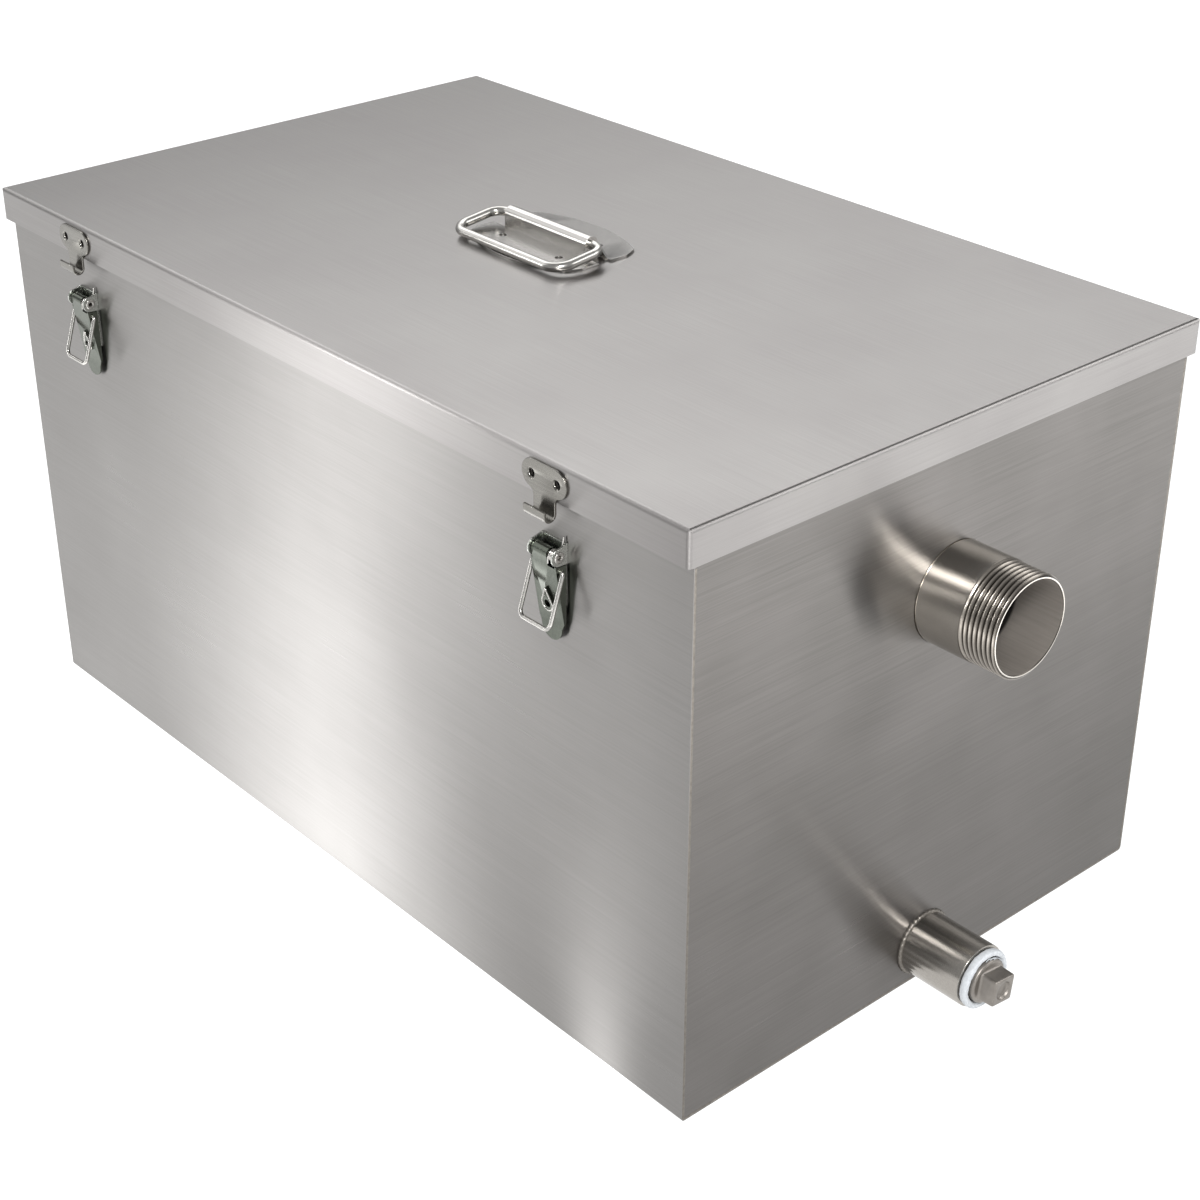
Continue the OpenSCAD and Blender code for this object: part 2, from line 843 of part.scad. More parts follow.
// Two rounded sides that run into the neck through hollow shoulders.
module strike_outline() {
    for (s = [-1, 1])
        translate([s * strike_lobe_x, 0])
            circle(strike_lobe_r);
    square([2 * strike_lobe_x, 2 * strike_lobe_r], center = true);
    difference() {
        polygon([
            [strike_lobe_x, 0],
            [shoulder_x, -shoulder_drop],
            [-shoulder_x, -shoulder_drop],
            [-strike_lobe_x, 0]
        ]);
        for (s = [-1, 1])
            translate([s * shoulder_x, -shoulder_drop])
                circle(strike_fillet_r);
    }
    translate([-strike_neck_w / 2, hook_z - strike_z])
        square([strike_neck_w, strike_z - hook_z]);
}

// A bracket spot-welded to the wall, with two ears for the rivet.
module bracket() {
    color(steel) {
        on_wall(latch_t) {
            translate([-latch_w / 2, rivet_z - ear_r])
                square([latch_w, ear_r + bracket_up]);
            translate([latch_t + cheek_gap - latch_w / 2, rivet_z - bracket_down])
                square([latch_w - 2 * (latch_t + cheek_gap), bracket_down]);
        }
        for (s = [-1, 1])
            slab(latch_t, s * (latch_w - latch_t) / 2)
                translate([0, rivet_z])
                    difference() {
                        union() {
                            translate([rivet_out, 0])
                                circle(ear_r);
                            translate([0, -ear_r])
                                square([rivet_out, 2 * ear_r]);
                            polygon([[0, 0], [rivet_out, ear_r], [0, bracket_up]]);
                        }
                        translate([rivet_out, 0])
                            circle(rivet_r + latch_fit);
                    }
    }
}

// A hollow rivet with both ends rolled over the ears.
module rivet() {
    head = latch_w / 2 + rivet_head_t;
    color(bright)
        translate([0, -rivet_out, rivet_z])
            rotate([90, 0, 90])
                rotate_extrude()
                    difference() {
                        union() {
                            translate([0, -head])
                                square([rivet_r, 2 * head]);
                            translate([0, latch_w / 2])
                                square([rivet_head_r, rivet_head_t]);
                            translate([0, -head])
                                square([rivet_head_r, rivet_head_t]);
                        }
                        translate([0, -head - over])
                            square([rivet_r - rivet_wall, 2 * (head + over)]);
                    }
}

// A close-wound coil on the rivet, with one leg up and one leg hooked in the lever's notch.
module spring() {
    start = latch_w / 2 - latch_t - spring_room + ear_gap + spring_d / 2;
    color(steel)
        translate([start, -rivet_out, rivet_z]) {
            rotate([90, 0, 90])
                rotate_extrude()
                    translate([coil_r - spring_d / 2, -spring_d / 2])
                        square([spring_d, spring_run + spring_d]);
            translate([spring_run, coil_r, 0])
                cylinder(d = spring_d, h = spring_leg);
            translate([0, -coil_r, -ear_r + spring_d])
                cylinder(d = spring_d, h = ear_r - spring_d);
        }
}

// The lever: a barrel on the rivet, a sloping face with a raised eye, two cheeks and a tongue.
module lever() {
    inside = latch_w / 2 - latch_t;
    barrel_l = 2 * inside - spring_room - ear_gap;
    color(bright)
        difference() {
            union() {
                translate([ear_gap - inside, -rivet_out, rivet_z])
                    wire_x(0, barrel_l, barrel_r);
                intersection() {
                    slab(latch_w)
                        lever_profile();
                    on_wall(rivet_out + barrel_r + over)
                        lever_outline(ear_gap - inside, barrel_l);
                }
                for (s = [-1, 1])
                    slab(latch_t, s * (latch_w - latch_t) / 2)
                        cheek();
                on_face(-latch_t / 2, eye_h)
                    eye_outline();
            }
            translate([0, -rivet_out, rivet_z])
                wire_x(-latch_w, latch_w, rivet_r + latch_fit);
            on_face(-latch_t - over, eye_h + over)
                circle(d = eye_hole_d);
        }
}

// Draws an outline out of the lever's sloping face at the eye, from one height to another.
module on_face(from, to) {
    out = lever_foot_out + eye_up * tan(lever_slope);
    translate([0, -out, lever_foot_z + eye_up])
        rotate([90 + lever_slope, 0, 0])
            translate([0, 0, from])
                linear_extrude(height = to - from)
                    children();
}

// A drop shape: a round eye with a tapering tail above it.
module eye_outline() {
    lean = acos(eye_r / eye_tail);
    circle(eye_r);
    polygon([
        [0, eye_tail],
        [-eye_r * sin(lean), eye_r * cos(lean)],
        [eye_r * sin(lean), eye_r * cos(lean)]
    ]);
}

// The lever's sheet seen from the side: the sloping face, then the tongue along the wall.
module lever_profile() {
    top = rivet_out + barrel_r;
    polygon([
        [top, rivet_z],
        [top - latch_t, rivet_z],
        [lever_foot_out - latch_t, lever_foot_z],
        [lever_foot_out - latch_t, lever_foot_z - tongue_l],
        [lever_foot_out, lever_foot_z - tongue_l],
        [lever_foot_out, lever_foot_z]
    ]);
}

// The lever's sheet seen from the front, with the notch that clears the spring.
module lever_outline(barrel_x, barrel_l) {
    translate([barrel_x, face_top - over])
        square([barrel_l, rivet_z - face_top + over]);
    translate([-latch_w / 2, lever_foot_z])
        square([latch_w, face_top - lever_foot_z]);
    intersection() {
        translate([-latch_w / 2, lever_foot_z - tongue_l])
            square([latch_w, tongue_l + over]);
        union() {
            translate([0, lever_foot_z - tongue_l + tongue_r])
                circle(tongue_r);
            polygon([
                [-latch_w / 2, lever_foot_z],
                [-tongue_r, lever_foot_z - tongue_l + tongue_r],
                [tongue_r, lever_foot_z - tongue_l + tongue_r],
                [latch_w / 2, lever_foot_z]
            ]);
        }
    }
}

// A cheek folded back from the sloping face, cut clear of the ear, with a hole for the bail.
module cheek() {
    difference() {
        polygon([
            [cheek_in, rivet_z],
            [rivet_out + barrel_r, rivet_z],
            [lever_foot_out, lever_foot_z],
            [cheek_in, lever_foot_z]
        ]);
        translate([rivet_out, rivet_z])
            circle(ear_r + ear_gap);
        translate([0, rivet_z - ear_r - ear_gap])
            square([rivet_out, ear_r + 2 * ear_gap]);
        translate([bail_hole_out, bail_z])
            circle(bail_r + latch_fit);
    }
}

// A wire loop whose ends turn in through the lever's cheeks.
module bail() {
    color(bright)
        translate([0, -bail_hole_out, bail_z])
            rotate([90 - bail_lean, 0, 0]) {
                for (s = [-1, 1]) {
                    translate([s * bail_arm_x, 0, 0]) {
                        sphere(bail_r);
                        wire_y(0, bail_len - bail_corner_r, bail_r);
                        wire_x(s > 0 ? -bail_end : 0, s > 0 ? 0 : bail_end, bail_r);
                    }
                    translate([s * (bail_arm_x - bail_corner_r), bail_corner_r - bail_len, 0])
                        rotate([0, 0, s > 0 ? -90 : 180])
                            bend(bail_corner_r, bail_r);
                }
                translate([0, -bail_len, 0])
                    wire_x(bail_corner_r - bail_arm_x, bail_arm_x - bail_corner_r, bail_r);
            }
}

module latch_rivets() {
    for (x = [-1, 1], y = [-1, 1])
        at_wall(x, y, 0)
            rivet();
}

module latch_springs() {
    for (x = [-1, 1], y = [-1, 1])
        at_wall(x, y, 0)
            spring();
}

tank_wrap();
inlet_end_plate();
outlet_end_plate();
inlet_pipe();
outlet_pipe();
outlet_elbow();
inlet_baffle();
outlet_baffle();
front_ledge();
back_ledge();
basket();
basket_handle();
drain_socket();
drain_plug();
drain_tape();
lid_pan();
lid_gasket();
handle_plate();
handle_bail();
at_wall(-1, -1, skirt_out) strike();  // strike_fl
at_wall(1, -1, skirt_out) strike();  // strike_fr
at_wall(-1, 1, skirt_out) strike();  // strike_bl
at_wall(1, 1, skirt_out) strike();  // strike_br
at_wall(-1, -1, 0) bracket();  // bracket_fl
at_wall(1, -1, 0) bracket();  // bracket_fr
at_wall(-1, 1, 0) bracket();  // bracket_bl
at_wall(1, 1, 0) bracket();  // bracket_br
latch_rivets();
latch_springs();
at_wall(-1, -1, 0) lever();  // lever_fl
at_wall(1, -1, 0) lever();  // lever_fr
at_wall(-1, 1, 0) lever();  // lever_bl
at_wall(1, 1, 0) lever();  // lever_br
at_wall(-1, -1, 0) bail();  // bail_fl
at_wall(1, -1, 0) bail();  // bail_fr
at_wall(-1, 1, 0) bail();  // bail_bl
at_wall(1, 1, 0) bail();  // bail_br
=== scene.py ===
import math

import bmesh
import bpy
import numpy as np
from mathutils import Matrix, Vector


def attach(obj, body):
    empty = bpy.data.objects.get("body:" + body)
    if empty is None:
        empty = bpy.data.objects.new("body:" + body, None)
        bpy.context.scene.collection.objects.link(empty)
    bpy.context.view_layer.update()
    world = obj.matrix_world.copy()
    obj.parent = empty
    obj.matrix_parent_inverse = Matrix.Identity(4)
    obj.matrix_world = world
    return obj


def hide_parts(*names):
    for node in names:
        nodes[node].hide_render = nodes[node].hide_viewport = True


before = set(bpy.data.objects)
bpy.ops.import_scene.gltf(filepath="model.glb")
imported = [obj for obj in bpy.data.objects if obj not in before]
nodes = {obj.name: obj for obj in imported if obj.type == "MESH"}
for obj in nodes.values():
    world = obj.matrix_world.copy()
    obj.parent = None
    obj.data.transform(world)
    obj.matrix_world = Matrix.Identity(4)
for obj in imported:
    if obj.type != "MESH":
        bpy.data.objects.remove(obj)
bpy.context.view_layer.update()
MM = 0.001


# Tank: one stainless sheet folded into front wall, base and back wall, and two end plates welded in.
# The sheet is bought satin ground, with its hairlines level, and is left bare.
def linear(code):
    """sRGB hex colour as linear RGBA: ((c + 0.055) / 1.055) to the power 2.4, or c / 12.92 near black."""
    c = np.array([int(code[i:i + 2], 16) for i in (0, 2, 4)]) / 255
    c = np.where(c > 0.04045, ((c + 0.055) / 1.055) ** 2.4, c / 12.92)
    return (*c.tolist(), 1.0)


def put(tree, kind, feeds=None, **settings):
    """Adds one node. settings are its own properties; feeds are its sockets' values or what they link to."""
    made = tree.nodes.new(kind)
    for key, value in settings.items():
        setattr(made, key, value)
    for key, value in (feeds or {}).items():
        if isinstance(value, bpy.types.NodeSocket):
            tree.links.new(value, made.inputs[key])
        else:
            made.inputs[key].default_value = value
    return made


def bare(name, **sockets):
    """A new material with its tree, its shader and the object's own coordinates."""
    mat = bpy.data.materials.new(name)
    mat.use_nodes = True
    shader = mat.node_tree.nodes["Principled BSDF"]
    for key, value in sockets.items():
        shader.inputs[key.replace("_", " ")].default_value = value
    return mat, mat.node_tree, shader, put(mat.node_tree, "ShaderNodeTexCoord").outputs["Object"]


def give(mat, *names):
    """Gives one material to CAD nodes that keep their shape."""
    for n in names:
        for s in nodes[n].material_slots:
            s.material = mat


# Satin ground stainless: the belt leaves level hairlines, so a reflection stays narrow along the grain
# and smears up and down across it. The true hairline is 0.05 mm; it is drawn 0.8 mm wide to show.
def satin_sheet(name, dark, light, rough):
    """Tone and gloss follow hairline plus cloud noise; the smear is the normal crossed with the grain."""
    mat, tree, shader, place = bare(name, Metallic=1.0, Anisotropic=0.96)
    normal = put(tree, "ShaderNodeNewGeometry").outputs["Normal"]
    facing = put(tree, "ShaderNodeSeparateXYZ", {0: normal}).outputs[0]
    across = put(tree, "ShaderNodeMath", {0: facing}, operation="ABSOLUTE").outputs[0]
    on_end = put(tree, "ShaderNodeMath", {0: across, 1: 0.7}, operation="GREATER_THAN").outputs[0]
    xyz = put(tree, "ShaderNodeSeparateXYZ", {0: place}).outputs
    turned = put(tree, "ShaderNodeCombineXYZ", {0: xyz[1], 1: xyz[0], 2: xyz[2]}).outputs[0]
    grain = put(tree, "ShaderNodeMix", {0: on_end, 4: place, 5: turned}, data_type="VECTOR").outputs[1]
    axis = put(tree, "ShaderNodeMix", {0: on_end, 4: (1, 0, 0), 5: (0, 1, 0)}, data_type="VECTOR").outputs[1]
    smear = put(tree, "ShaderNodeVectorMath", {0: normal, 1: axis}, operation="CROSS_PRODUCT").outputs[0]
    hair_l, hair_w, cloud_w = 90 * MM, 0.8 * MM, 110 * MM
    drawn = put(tree, "ShaderNodeMapping", {"Vector": grain, "Scale": (1 / hair_l, 1 / hair_w, 1 / hair_w)})
    lines = put(tree, "ShaderNodeTexNoise", {"Vector": drawn.outputs[0], "Scale": 1.0, "Detail": 4.0,
                                             "Roughness": 0.62}).outputs[0]
    cloud = put(tree, "ShaderNodeTexNoise", {"Vector": place, "Scale": 1 / cloud_w, "Detail": 3.0}).outputs[0]
    both = put(tree, "ShaderNodeMath", {0: lines, 1: cloud}, operation="ADD").outputs[0]
    span = put(tree, "ShaderNodeMapRange", {"Value": both, "From Min": 0.6, "From Max": 1.4}).outputs[0]
    tone = put(tree, "ShaderNodeMixRGB", {"Fac": span, "Color1": linear(dark), "Color2": linear(light)})
    haze = put(tree, "ShaderNodeMapRange", {"Value": both, "From Min": 0.6, "From Max": 1.4,
                                            "To Min": rough + 0.02, "To Max": rough - 0.02})
    relief = put(tree, "ShaderNodeBump", {"Height": lines, "Strength": 0.1, "Distance": 0.05 * MM})
    tree.links.new(tone.outputs[0], shader.inputs["Base Color"])
    tree.links.new(haze.outputs[0], shader.inputs["Roughness"])
    tree.links.new(relief.outputs[0], shader.inputs["Normal"])
    tree.links.new(smear, shader.inputs["Tangent"])
    return mat


# Front, base and back are ground satin; the end plates are the same sheet given a darker tone, which is
# painted shade on the end faces.
wall_sheet = satin_sheet("satin_ground_stainless", "7e7c7a", "898785", 0.29)
end_sheet = satin_sheet("satin_ground_end_stainless_painted_shade", "63615e", "757270", 0.29)
give(wall_sheet, "tank_wrap")
give(end_sheet, "inlet_end_plate", "outlet_end_plate")


# Corner welds: each end plate is fused to the folded sheet down the front, along the base and up the
# back, with no filler, and the line is ground nearly flush, so it shows as a thin dull seam.
def surface(name, *grids, sharp=35):
    """One mesh from grids of points: every row is a closed ring, and each row is joined to the next."""
    points, quads, first = [], [], 0
    for grid in grids:
        rows, cols = grid.shape[:2]
        row = np.arange(rows - 1)[:, None] * cols + first
        col = np.arange(cols)[None, :]
        nxt = (col + 1) % cols
        quads.append(np.stack([row + col, row + nxt, row + nxt + cols, row + col + cols], -1).reshape(-1, 4))
        points.append(grid.reshape(-1, 3))
        first += rows * cols
    mesh = bpy.data.meshes.new(name)
    mesh.from_pydata(np.concatenate(points).tolist(), [], np.concatenate(quads).tolist())
    shell = bmesh.new()
    shell.from_mesh(mesh)
    bmesh.ops.remove_doubles(shell, verts=shell.verts, dist=1e-7)
    bmesh.ops.recalc_face_normals(shell, faces=shell.faces)
    shell.to_mesh(mesh)
    shell.free()
    mesh.polygons.foreach_set("use_smooth", np.ones(len(mesh.polygons), bool))
    mesh.set_sharp_from_angle(angle=math.radians(sharp))
    made = bpy.data.objects.new(name, mesh)
    bpy.context.scene.collection.objects.link(made)
    return made


def unit(v):
    """Vectors divided by their lengths."""
    return v / np.linalg.norm(v, axis=-1, keepdims=True)


def bent(corners, radii, steps=10):
    """A path through straight legs: each inner corner is an arc of its radius, tangent to both legs."""
    corners = np.asarray(corners, float)
    path = [corners[:1]]
    for before, at, after, r in zip(corners[:-2], corners[1:-1], corners[2:], radii):
        a, b = unit(before - at), unit(after - at)
        half = np.arccos(np.clip(a @ b, -1, 1)) / 2
        centre = at + unit(a + b) * r / np.sin(half)
        turn = np.linspace(half - np.pi / 2, np.pi / 2 - half, steps)[:, None]
        path.append(centre + r * (np.cos(turn) * -unit(a + b) + np.sin(turn) * unit(b - a)))
    path.append(corners[-1:])
    return np.concatenate(path)


TANK_L, TANK_W, TANK_H, SHEET = 650 * MM, 386 * MM, 360 * MM, 1.2 * MM
SEAM_HALF, SEAM_HIGH, SEAM_SHORT, SEAM_SIDES = 0.8 * MM, 0.12 * MM, 20 * MM, 12
seams = []
for end in (-1, 1):
    y, x, top = TANK_W / 2 - SHEET, end * TANK_L / 2, TANK_H - SEAM_SHORT
    line = bent([(x, -y, top), (x, -y, SHEET), (x, y, SHEET), (x, y, top)], [SHEET, SHEET])
    turn = np.linspace(0, 2 * np.pi, SEAM_SIDES, endpoint=False)[None, :, None]
    inward = unit(np.cross(unit(np.gradient(line, axis=0)), (end, 0, 0)))[:, None]
    outward = np.array((end, 0, 0.0))
    ring = line[:, None] + SEAM_HALF * np.cos(turn) * inward + SEAM_HIGH * np.sin(turn) * outward
    tips = np.repeat(line[[0, -1], None], SEAM_SIDES, 1)
    seams.append(np.concatenate([tips[:1], ring, tips[1:]]))
corner_welds = surface("corner_welds", *seams)

# Fused and ground weld: duller and a little darker than the sheet beside it, with a straw heat tint.
weld_seam, tree, shader, place = bare("ground_fusion_weld", Metallic=1.0)
fleck = put(tree, "ShaderNodeTexNoise", {"Vector": place, "Scale": 1 / (2.5 * MM), "Detail": 3.0}).outputs[0]
tint = put(tree, "ShaderNodeMixRGB", {"Fac": fleck, "Color1": linear("5f5b56"), "Color2": linear("8a857e")})
dull = put(tree, "ShaderNodeMapRange", {"Value": fleck, "To Min": 0.5, "To Max": 0.34})
tree.links.new(tint.outputs[0], shader.inputs["Base Color"])
tree.links.new(dull.outputs[0], shader.inputs["Roughness"])
corner_welds.data.materials.append(weld_seam)
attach(corner_welds, "tank")


# Pipe stubs: two lengths of 2 inch stainless pipe set through the end plates and welded from inside.
# The free end of each is cut with a thread, as coarse as the photograph shows it. The shank is polished
# and the bore left as pickled.
def turned_x(profile, sides=160):
    """A lathe shape on the X axis: each (along, radius) pair of the profile becomes a ring."""
    turn = np.linspace(0, 2 * np.pi, sides, endpoint=False)[None]
    along, radius = profile[:, :1], profile[:, 1:]
    return np.stack([along + 0 * turn, radius * np.cos(turn), radius * np.sin(turn)], -1)


PIPE_Z, PIPE_R, THREAD_R, BORE_R = 258.5 * MM, 30.15 * MM, 29.8 * MM, 27.15 * MM
PIPE_OUT, THREAD_L, PITCH, CUT, RUN_OUT = 53 * MM, 23.5 * MM, 3.14 * MM, 1.1 * MM, 3 * MM
CUT_ROWS, CUT_SHORT, ROOT_FLAT, FLANK = 170, 0.7 * MM, 1.15, 1.3
CHAMFER, LIP, OUTLET_IN, INLET_IN = 1.5 * MM, 0.4 * MM, 26 * MM, 7 * MM
MOUTH_X = TANK_L / 2 + PIPE_OUT


def pipe_stub(inside):
    """The pipe's outline turned on X; along the thread the radius dips in a V that climbs a pitch a turn."""
    start = PIPE_OUT - THREAD_L
    cut_rows = np.linspace(start, PIPE_OUT - CUT_SHORT, CUT_ROWS)
    back = -SHEET - inside
    fillet = [(-SHEET - 2.4 * MM, PIPE_R), (-SHEET, PIPE_R + 2.3 * MM), (-SHEET, PIPE_R)]
    groove = [(0, PIPE_R), (0, PIPE_R - 0.6 * MM), (0.5 * MM, PIPE_R - 0.6 * MM), (0.6 * MM, PIPE_R)]
    outline = np.array([(back, BORE_R), (back, PIPE_R), *fillet, *groove, (start, PIPE_R)])
    thread = np.stack([cut_rows, np.full_like(cut_rows, THREAD_R)], -1)
    mouth = np.array([(PIPE_OUT, THREAD_R - CHAMFER), (PIPE_OUT, BORE_R + LIP),
                      (PIPE_OUT - LIP, BORE_R), (back, BORE_R)])
    grid = turned_x(np.concatenate([outline, thread, mouth]))
    turn = np.linspace(0, 1, grid.shape[1], endpoint=False)[None]
    phase = (grid[..., 0] / PITCH - turn) % 1
    dip = np.clip(ROOT_FLAT - np.abs(2 * phase - 1) * FLANK, 0, 1)
    run_out = np.clip((grid[..., 0] - start) / RUN_OUT, 0, 1)
    cut = np.zeros(grid.shape[:2])
    rows = slice(len(outline), len(outline) + len(thread))
    cut[rows] = (run_out * dip * CUT - (1 - run_out) * (PIPE_R - THREAD_R))[rows]
    length = np.linalg.norm(grid[..., 1:], axis=-1)
    grid[..., 1:] *= ((length - cut) / length)[..., None]
    return grid + np.array((TANK_L / 2, 0, PIPE_Z))


outlet_pipe = surface("outlet_pipe_threaded", pipe_stub(OUTLET_IN), sharp=40)
inlet_pipe = surface("inlet_pipe_threaded", pipe_stub(INLET_IN) * np.array((-1, -1, 1)), sharp=40)

# Turned and polished stainless: round tool lines 0.5 mm apart give a bright, slightly warm metal with
# clear reflections that are drawn out round the pipe.
turned_steel, tree, shader, place = bare("turned_polished_stainless", Metallic=1.0)
TOOL_W, TOOL_L = 0.5 * MM, 30 * MM
rings = put(tree, "ShaderNodeMapping", {"Vector": place, "Scale": (1 / TOOL_W, 1 / TOOL_L, 1 / TOOL_L)})
lines = put(tree, "ShaderNodeTexNoise", {"Vector": rings.outputs[0], "Scale": 1.0, "Detail": 3.0}).outputs[0]
smudge = put(tree, "ShaderNodeTexNoise", {"Vector": place, "Scale": 1 / (20 * MM), "Detail": 4.0}).outputs[0]
tone = put(tree, "ShaderNodeMixRGB", {"Fac": smudge, "Color1": linear("c0bbb3"), "Color2": linear("d3cec7")})
gloss = put(tree, "ShaderNodeMapRange", {"Value": lines, "To Min": 0.16, "To Max": 0.28})
relief = put(tree, "ShaderNodeBump", {"Height": lines, "Strength": 0.12, "Distance": 0.05 * MM})
tree.links.new(tone.outputs[0], shader.inputs["Base Color"])
tree.links.new(gloss.outputs[0], shader.inputs["Roughness"])
tree.links.new(relief.outputs[0], shader.inputs["Normal"])

# Pickled stainless: the mill's acid bath leaves the bore a matt pale grey with faint draw lines. Beyond
# 30 mm in it is painted dark, as painted shade deep inside the bore.
SMOKE_FROM, SMOKE_FULL, DRAW_L, DRAW_W = 29.8 * MM, 31.4 * MM, 30 * MM, 1.5 * MM
pickled_steel, tree, shader, place = bare("pickled_bore_stainless", Metallic=0.7)
drawn = put(tree, "ShaderNodeMapping", {"Vector": place, "Scale": (1 / DRAW_L, 1 / DRAW_W, 1 / DRAW_W)})
lines = put(tree, "ShaderNodeTexNoise", {"Vector": drawn.outputs[0], "Scale": 1.0, "Detail": 3.0}).outputs[0]
tone = put(tree, "ShaderNodeMixRGB", {"Fac": lines, "Color1": linear("86807a"), "Color2": linear("9c968f")})
along = put(tree, "ShaderNodeSeparateXYZ", {0: place}).outputs[0]
far = put(tree, "ShaderNodeMath", {0: along}, operation="ABSOLUTE").outputs[0]
clean = put(tree, "ShaderNodeMapRange", {"Value": far, "From Min": MOUTH_X - SMOKE_FULL,
                                         "From Max": MOUTH_X - SMOKE_FROM}).outputs[0]
# Painted shade: the bore's tone turns near black past 30 mm from the mouth.
tone = put(tree, "ShaderNodeMixRGB", {"Fac": clean, "Color1": linear("2b2826"), "Color2": tone.outputs[0]})
gloss = put(tree, "ShaderNodeMapRange", {"Value": lines, "To Min": 0.75, "To Max": 0.6})
tree.links.new(tone.outputs[0], shader.inputs["Base Color"])
tree.links.new(gloss.outputs[0], shader.inputs["Roughness"])

# Cut thread: the die leaves bright crests, and the roots are painted dark, as painted shade in the thread's
# grooves.
thread_steel, tree, shader, place = bare("die_cut_thread_stainless", Metallic=1.0)
from_axis = put(tree, "ShaderNodeVectorMath", {0: place, 1: (0, 1, 1), 2: (0, 0, -PIPE_Z)},
                operation="MULTIPLY_ADD")
root = put(tree, "ShaderNodeVectorMath", {0: from_axis.outputs[0]}, operation="LENGTH").outputs[1]
crest = put(tree, "ShaderNodeMapRange", {"Value": root, "From Min": THREAD_R - 0.9 * CUT,
                                         "From Max": THREAD_R - 0.15 * CUT}).outputs[0]
nick = put(tree, "ShaderNodeTexNoise", {"Vector": place, "Scale": 1 / (4 * MM), "Detail": 3.0}).outputs[0]
metal = put(tree, "ShaderNodeMixRGB", {"Fac": nick, "Color1": linear("857f78"), "Color2": linear("a8a29a")})
# Painted shade: the tone darkens from the crests down into the thread roots.
tone = put(tree, "ShaderNodeMixRGB", {"Fac": crest, "Color1": linear("4a4641"), "Color2": metal.outputs[0]})
gloss = put(tree, "ShaderNodeMapRange", {"Value": nick, "To Min": 0.3, "To Max": 0.18})
tree.links.new(tone.outputs[0], shader.inputs["Base Color"])
tree.links.new(gloss.outputs[0], shader.inputs["Roughness"])
for stub, node in ((outlet_pipe, "outlet_pipe"), (inlet_pipe, "inlet_pipe")):
    stub.data.materials.append(turned_steel)
    stub.data.materials.append(pickled_steel)
    stub.data.materials.append(thread_steel)
    middle = np.empty(3 * len(stub.data.polygons), np.float32)
    stub.data.polygons.foreach_get("center", middle)
    reach = np.hypot(middle[1::3], middle[2::3] - PIPE_Z)
    depth = MOUTH_X - np.abs(middle[0::3])
    bore = reach < BORE_R + 0.1 * MM
    thread = ~bore & (depth < THREAD_L) & (depth > 0.2 * MM)
    stub.data.polygons.foreach_set("material_index", bore.astype(np.int32) + 2 * thread.astype(np.int32))
    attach(stub, "tank")
    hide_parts(node)


# Inside: the outlet elbow, the two baffles and the basket's ledges, all of the same sheet and tube.
# They are welded in before the tank is closed and have the mill's duller finish.
inner_sheet = satin_sheet("mill_finish_stainless", "a3a19f", "b3b1af", 0.4)
give(inner_sheet, "outlet_elbow", "inlet_baffle", "outlet_baffle", "front_ledge", "back_ledge", "basket")


# Basket handle: one length of 5 mm wire bent round, its ends turned in through the basket's lugs.
# The wire is drawn and polished, and it falls on the rim by its own weight.
def wire(path, radius, ref, sides=20, loop=False):
    """Round wire: rings of the radius stand square to the path at each point, set out from ref."""
    ahead = np.roll(path, -1, 0) - np.roll(path, 1, 0) if loop else np.gradient(path, axis=0)
    ahead = unit(ahead)
    side = unit(np.cross(ahead, ref))
    up = np.cross(side, ahead)
    turn = np.linspace(0, 2 * np.pi, sides, endpoint=False)[None, :, None]
    rings = path[:, None] + radius * (np.cos(turn) * side[:, None] + np.sin(turn) * up[:, None])
    if loop:
        return np.concatenate([rings, rings[:1]])
    caps = np.repeat(path[[0, -1], None], sides, 1)
    return np.concatenate([caps[:1], rings, caps[1:]])


LIFT_X, LIFT_REACH, LIFT_END, LIFT_R = 93 * MM, 100 * MM, 10 * MM, 2.5 * MM
LIFT_BENDS = [2.6 * MM, 20 * MM, 20 * MM, 2.6 * MM]
lift_line = bent([(LIFT_END - LIFT_X, 0, 0), (-LIFT_X, 0, 0), (-LIFT_X, -LIFT_REACH, 0),
                  (LIFT_X, -LIFT_REACH, 0), (LIFT_X, 0, 0), (LIFT_X - LIFT_END, 0, 0)], LIFT_BENDS)
lift_pivot = np.array((-218, 0, 225)) * MM
lift_wire = surface("basket_handle_wire", wire(lift_line + lift_pivot, LIFT_R, (0, 0, 1)), sharp=60)


# Polished stainless: pressed or drawn and then barrel polished, so it mirrors its surroundings with a
# faint orange-peel of 3.5 mm and fine handling scuffs.
def polished(name, dark, light, gloss_from, gloss_to):
    """Tone and gloss run between their two values by scuff noise; peel noise gives the relief."""
    mat, tree, shader, place = bare(name, Metallic=1.0)
    scuff_w, peel_w = 1.5 * MM, 3.5 * MM
    scuff = put(tree, "ShaderNodeTexNoise", {"Vector": place, "Scale": 1 / scuff_w, "Detail": 4.0}).outputs[0]
    peel = put(tree, "ShaderNodeTexNoise", {"Vector": place, "Scale": 1 / peel_w, "Detail": 1.0}).outputs[0]
    tone = put(tree, "ShaderNodeMixRGB", {"Fac": scuff, "Color1": linear(dark), "Color2": linear(light)})
    gloss = put(tree, "ShaderNodeMapRange", {"Value": scuff, "To Min": gloss_from, "To Max": gloss_to})
    relief = put(tree, "ShaderNodeBump", {"Height": peel, "Strength": 0.1, "Distance": 0.05 * MM})
    tree.links.new(tone.outputs[0], shader.inputs["Base Color"])
    tree.links.new(gloss.outputs[0], shader.inputs["Roughness"])
    tree.links.new(relief.outputs[0], shader.inputs["Normal"])
    return mat


bright_wire = polished("barrel_polished_wire_stainless", "a6a4a0", "bcbab6", 0.17, 0.28)
lift_wire.data.materials.append(bright_wire)
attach(lift_wire, "basket_handle")
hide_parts("basket_handle")


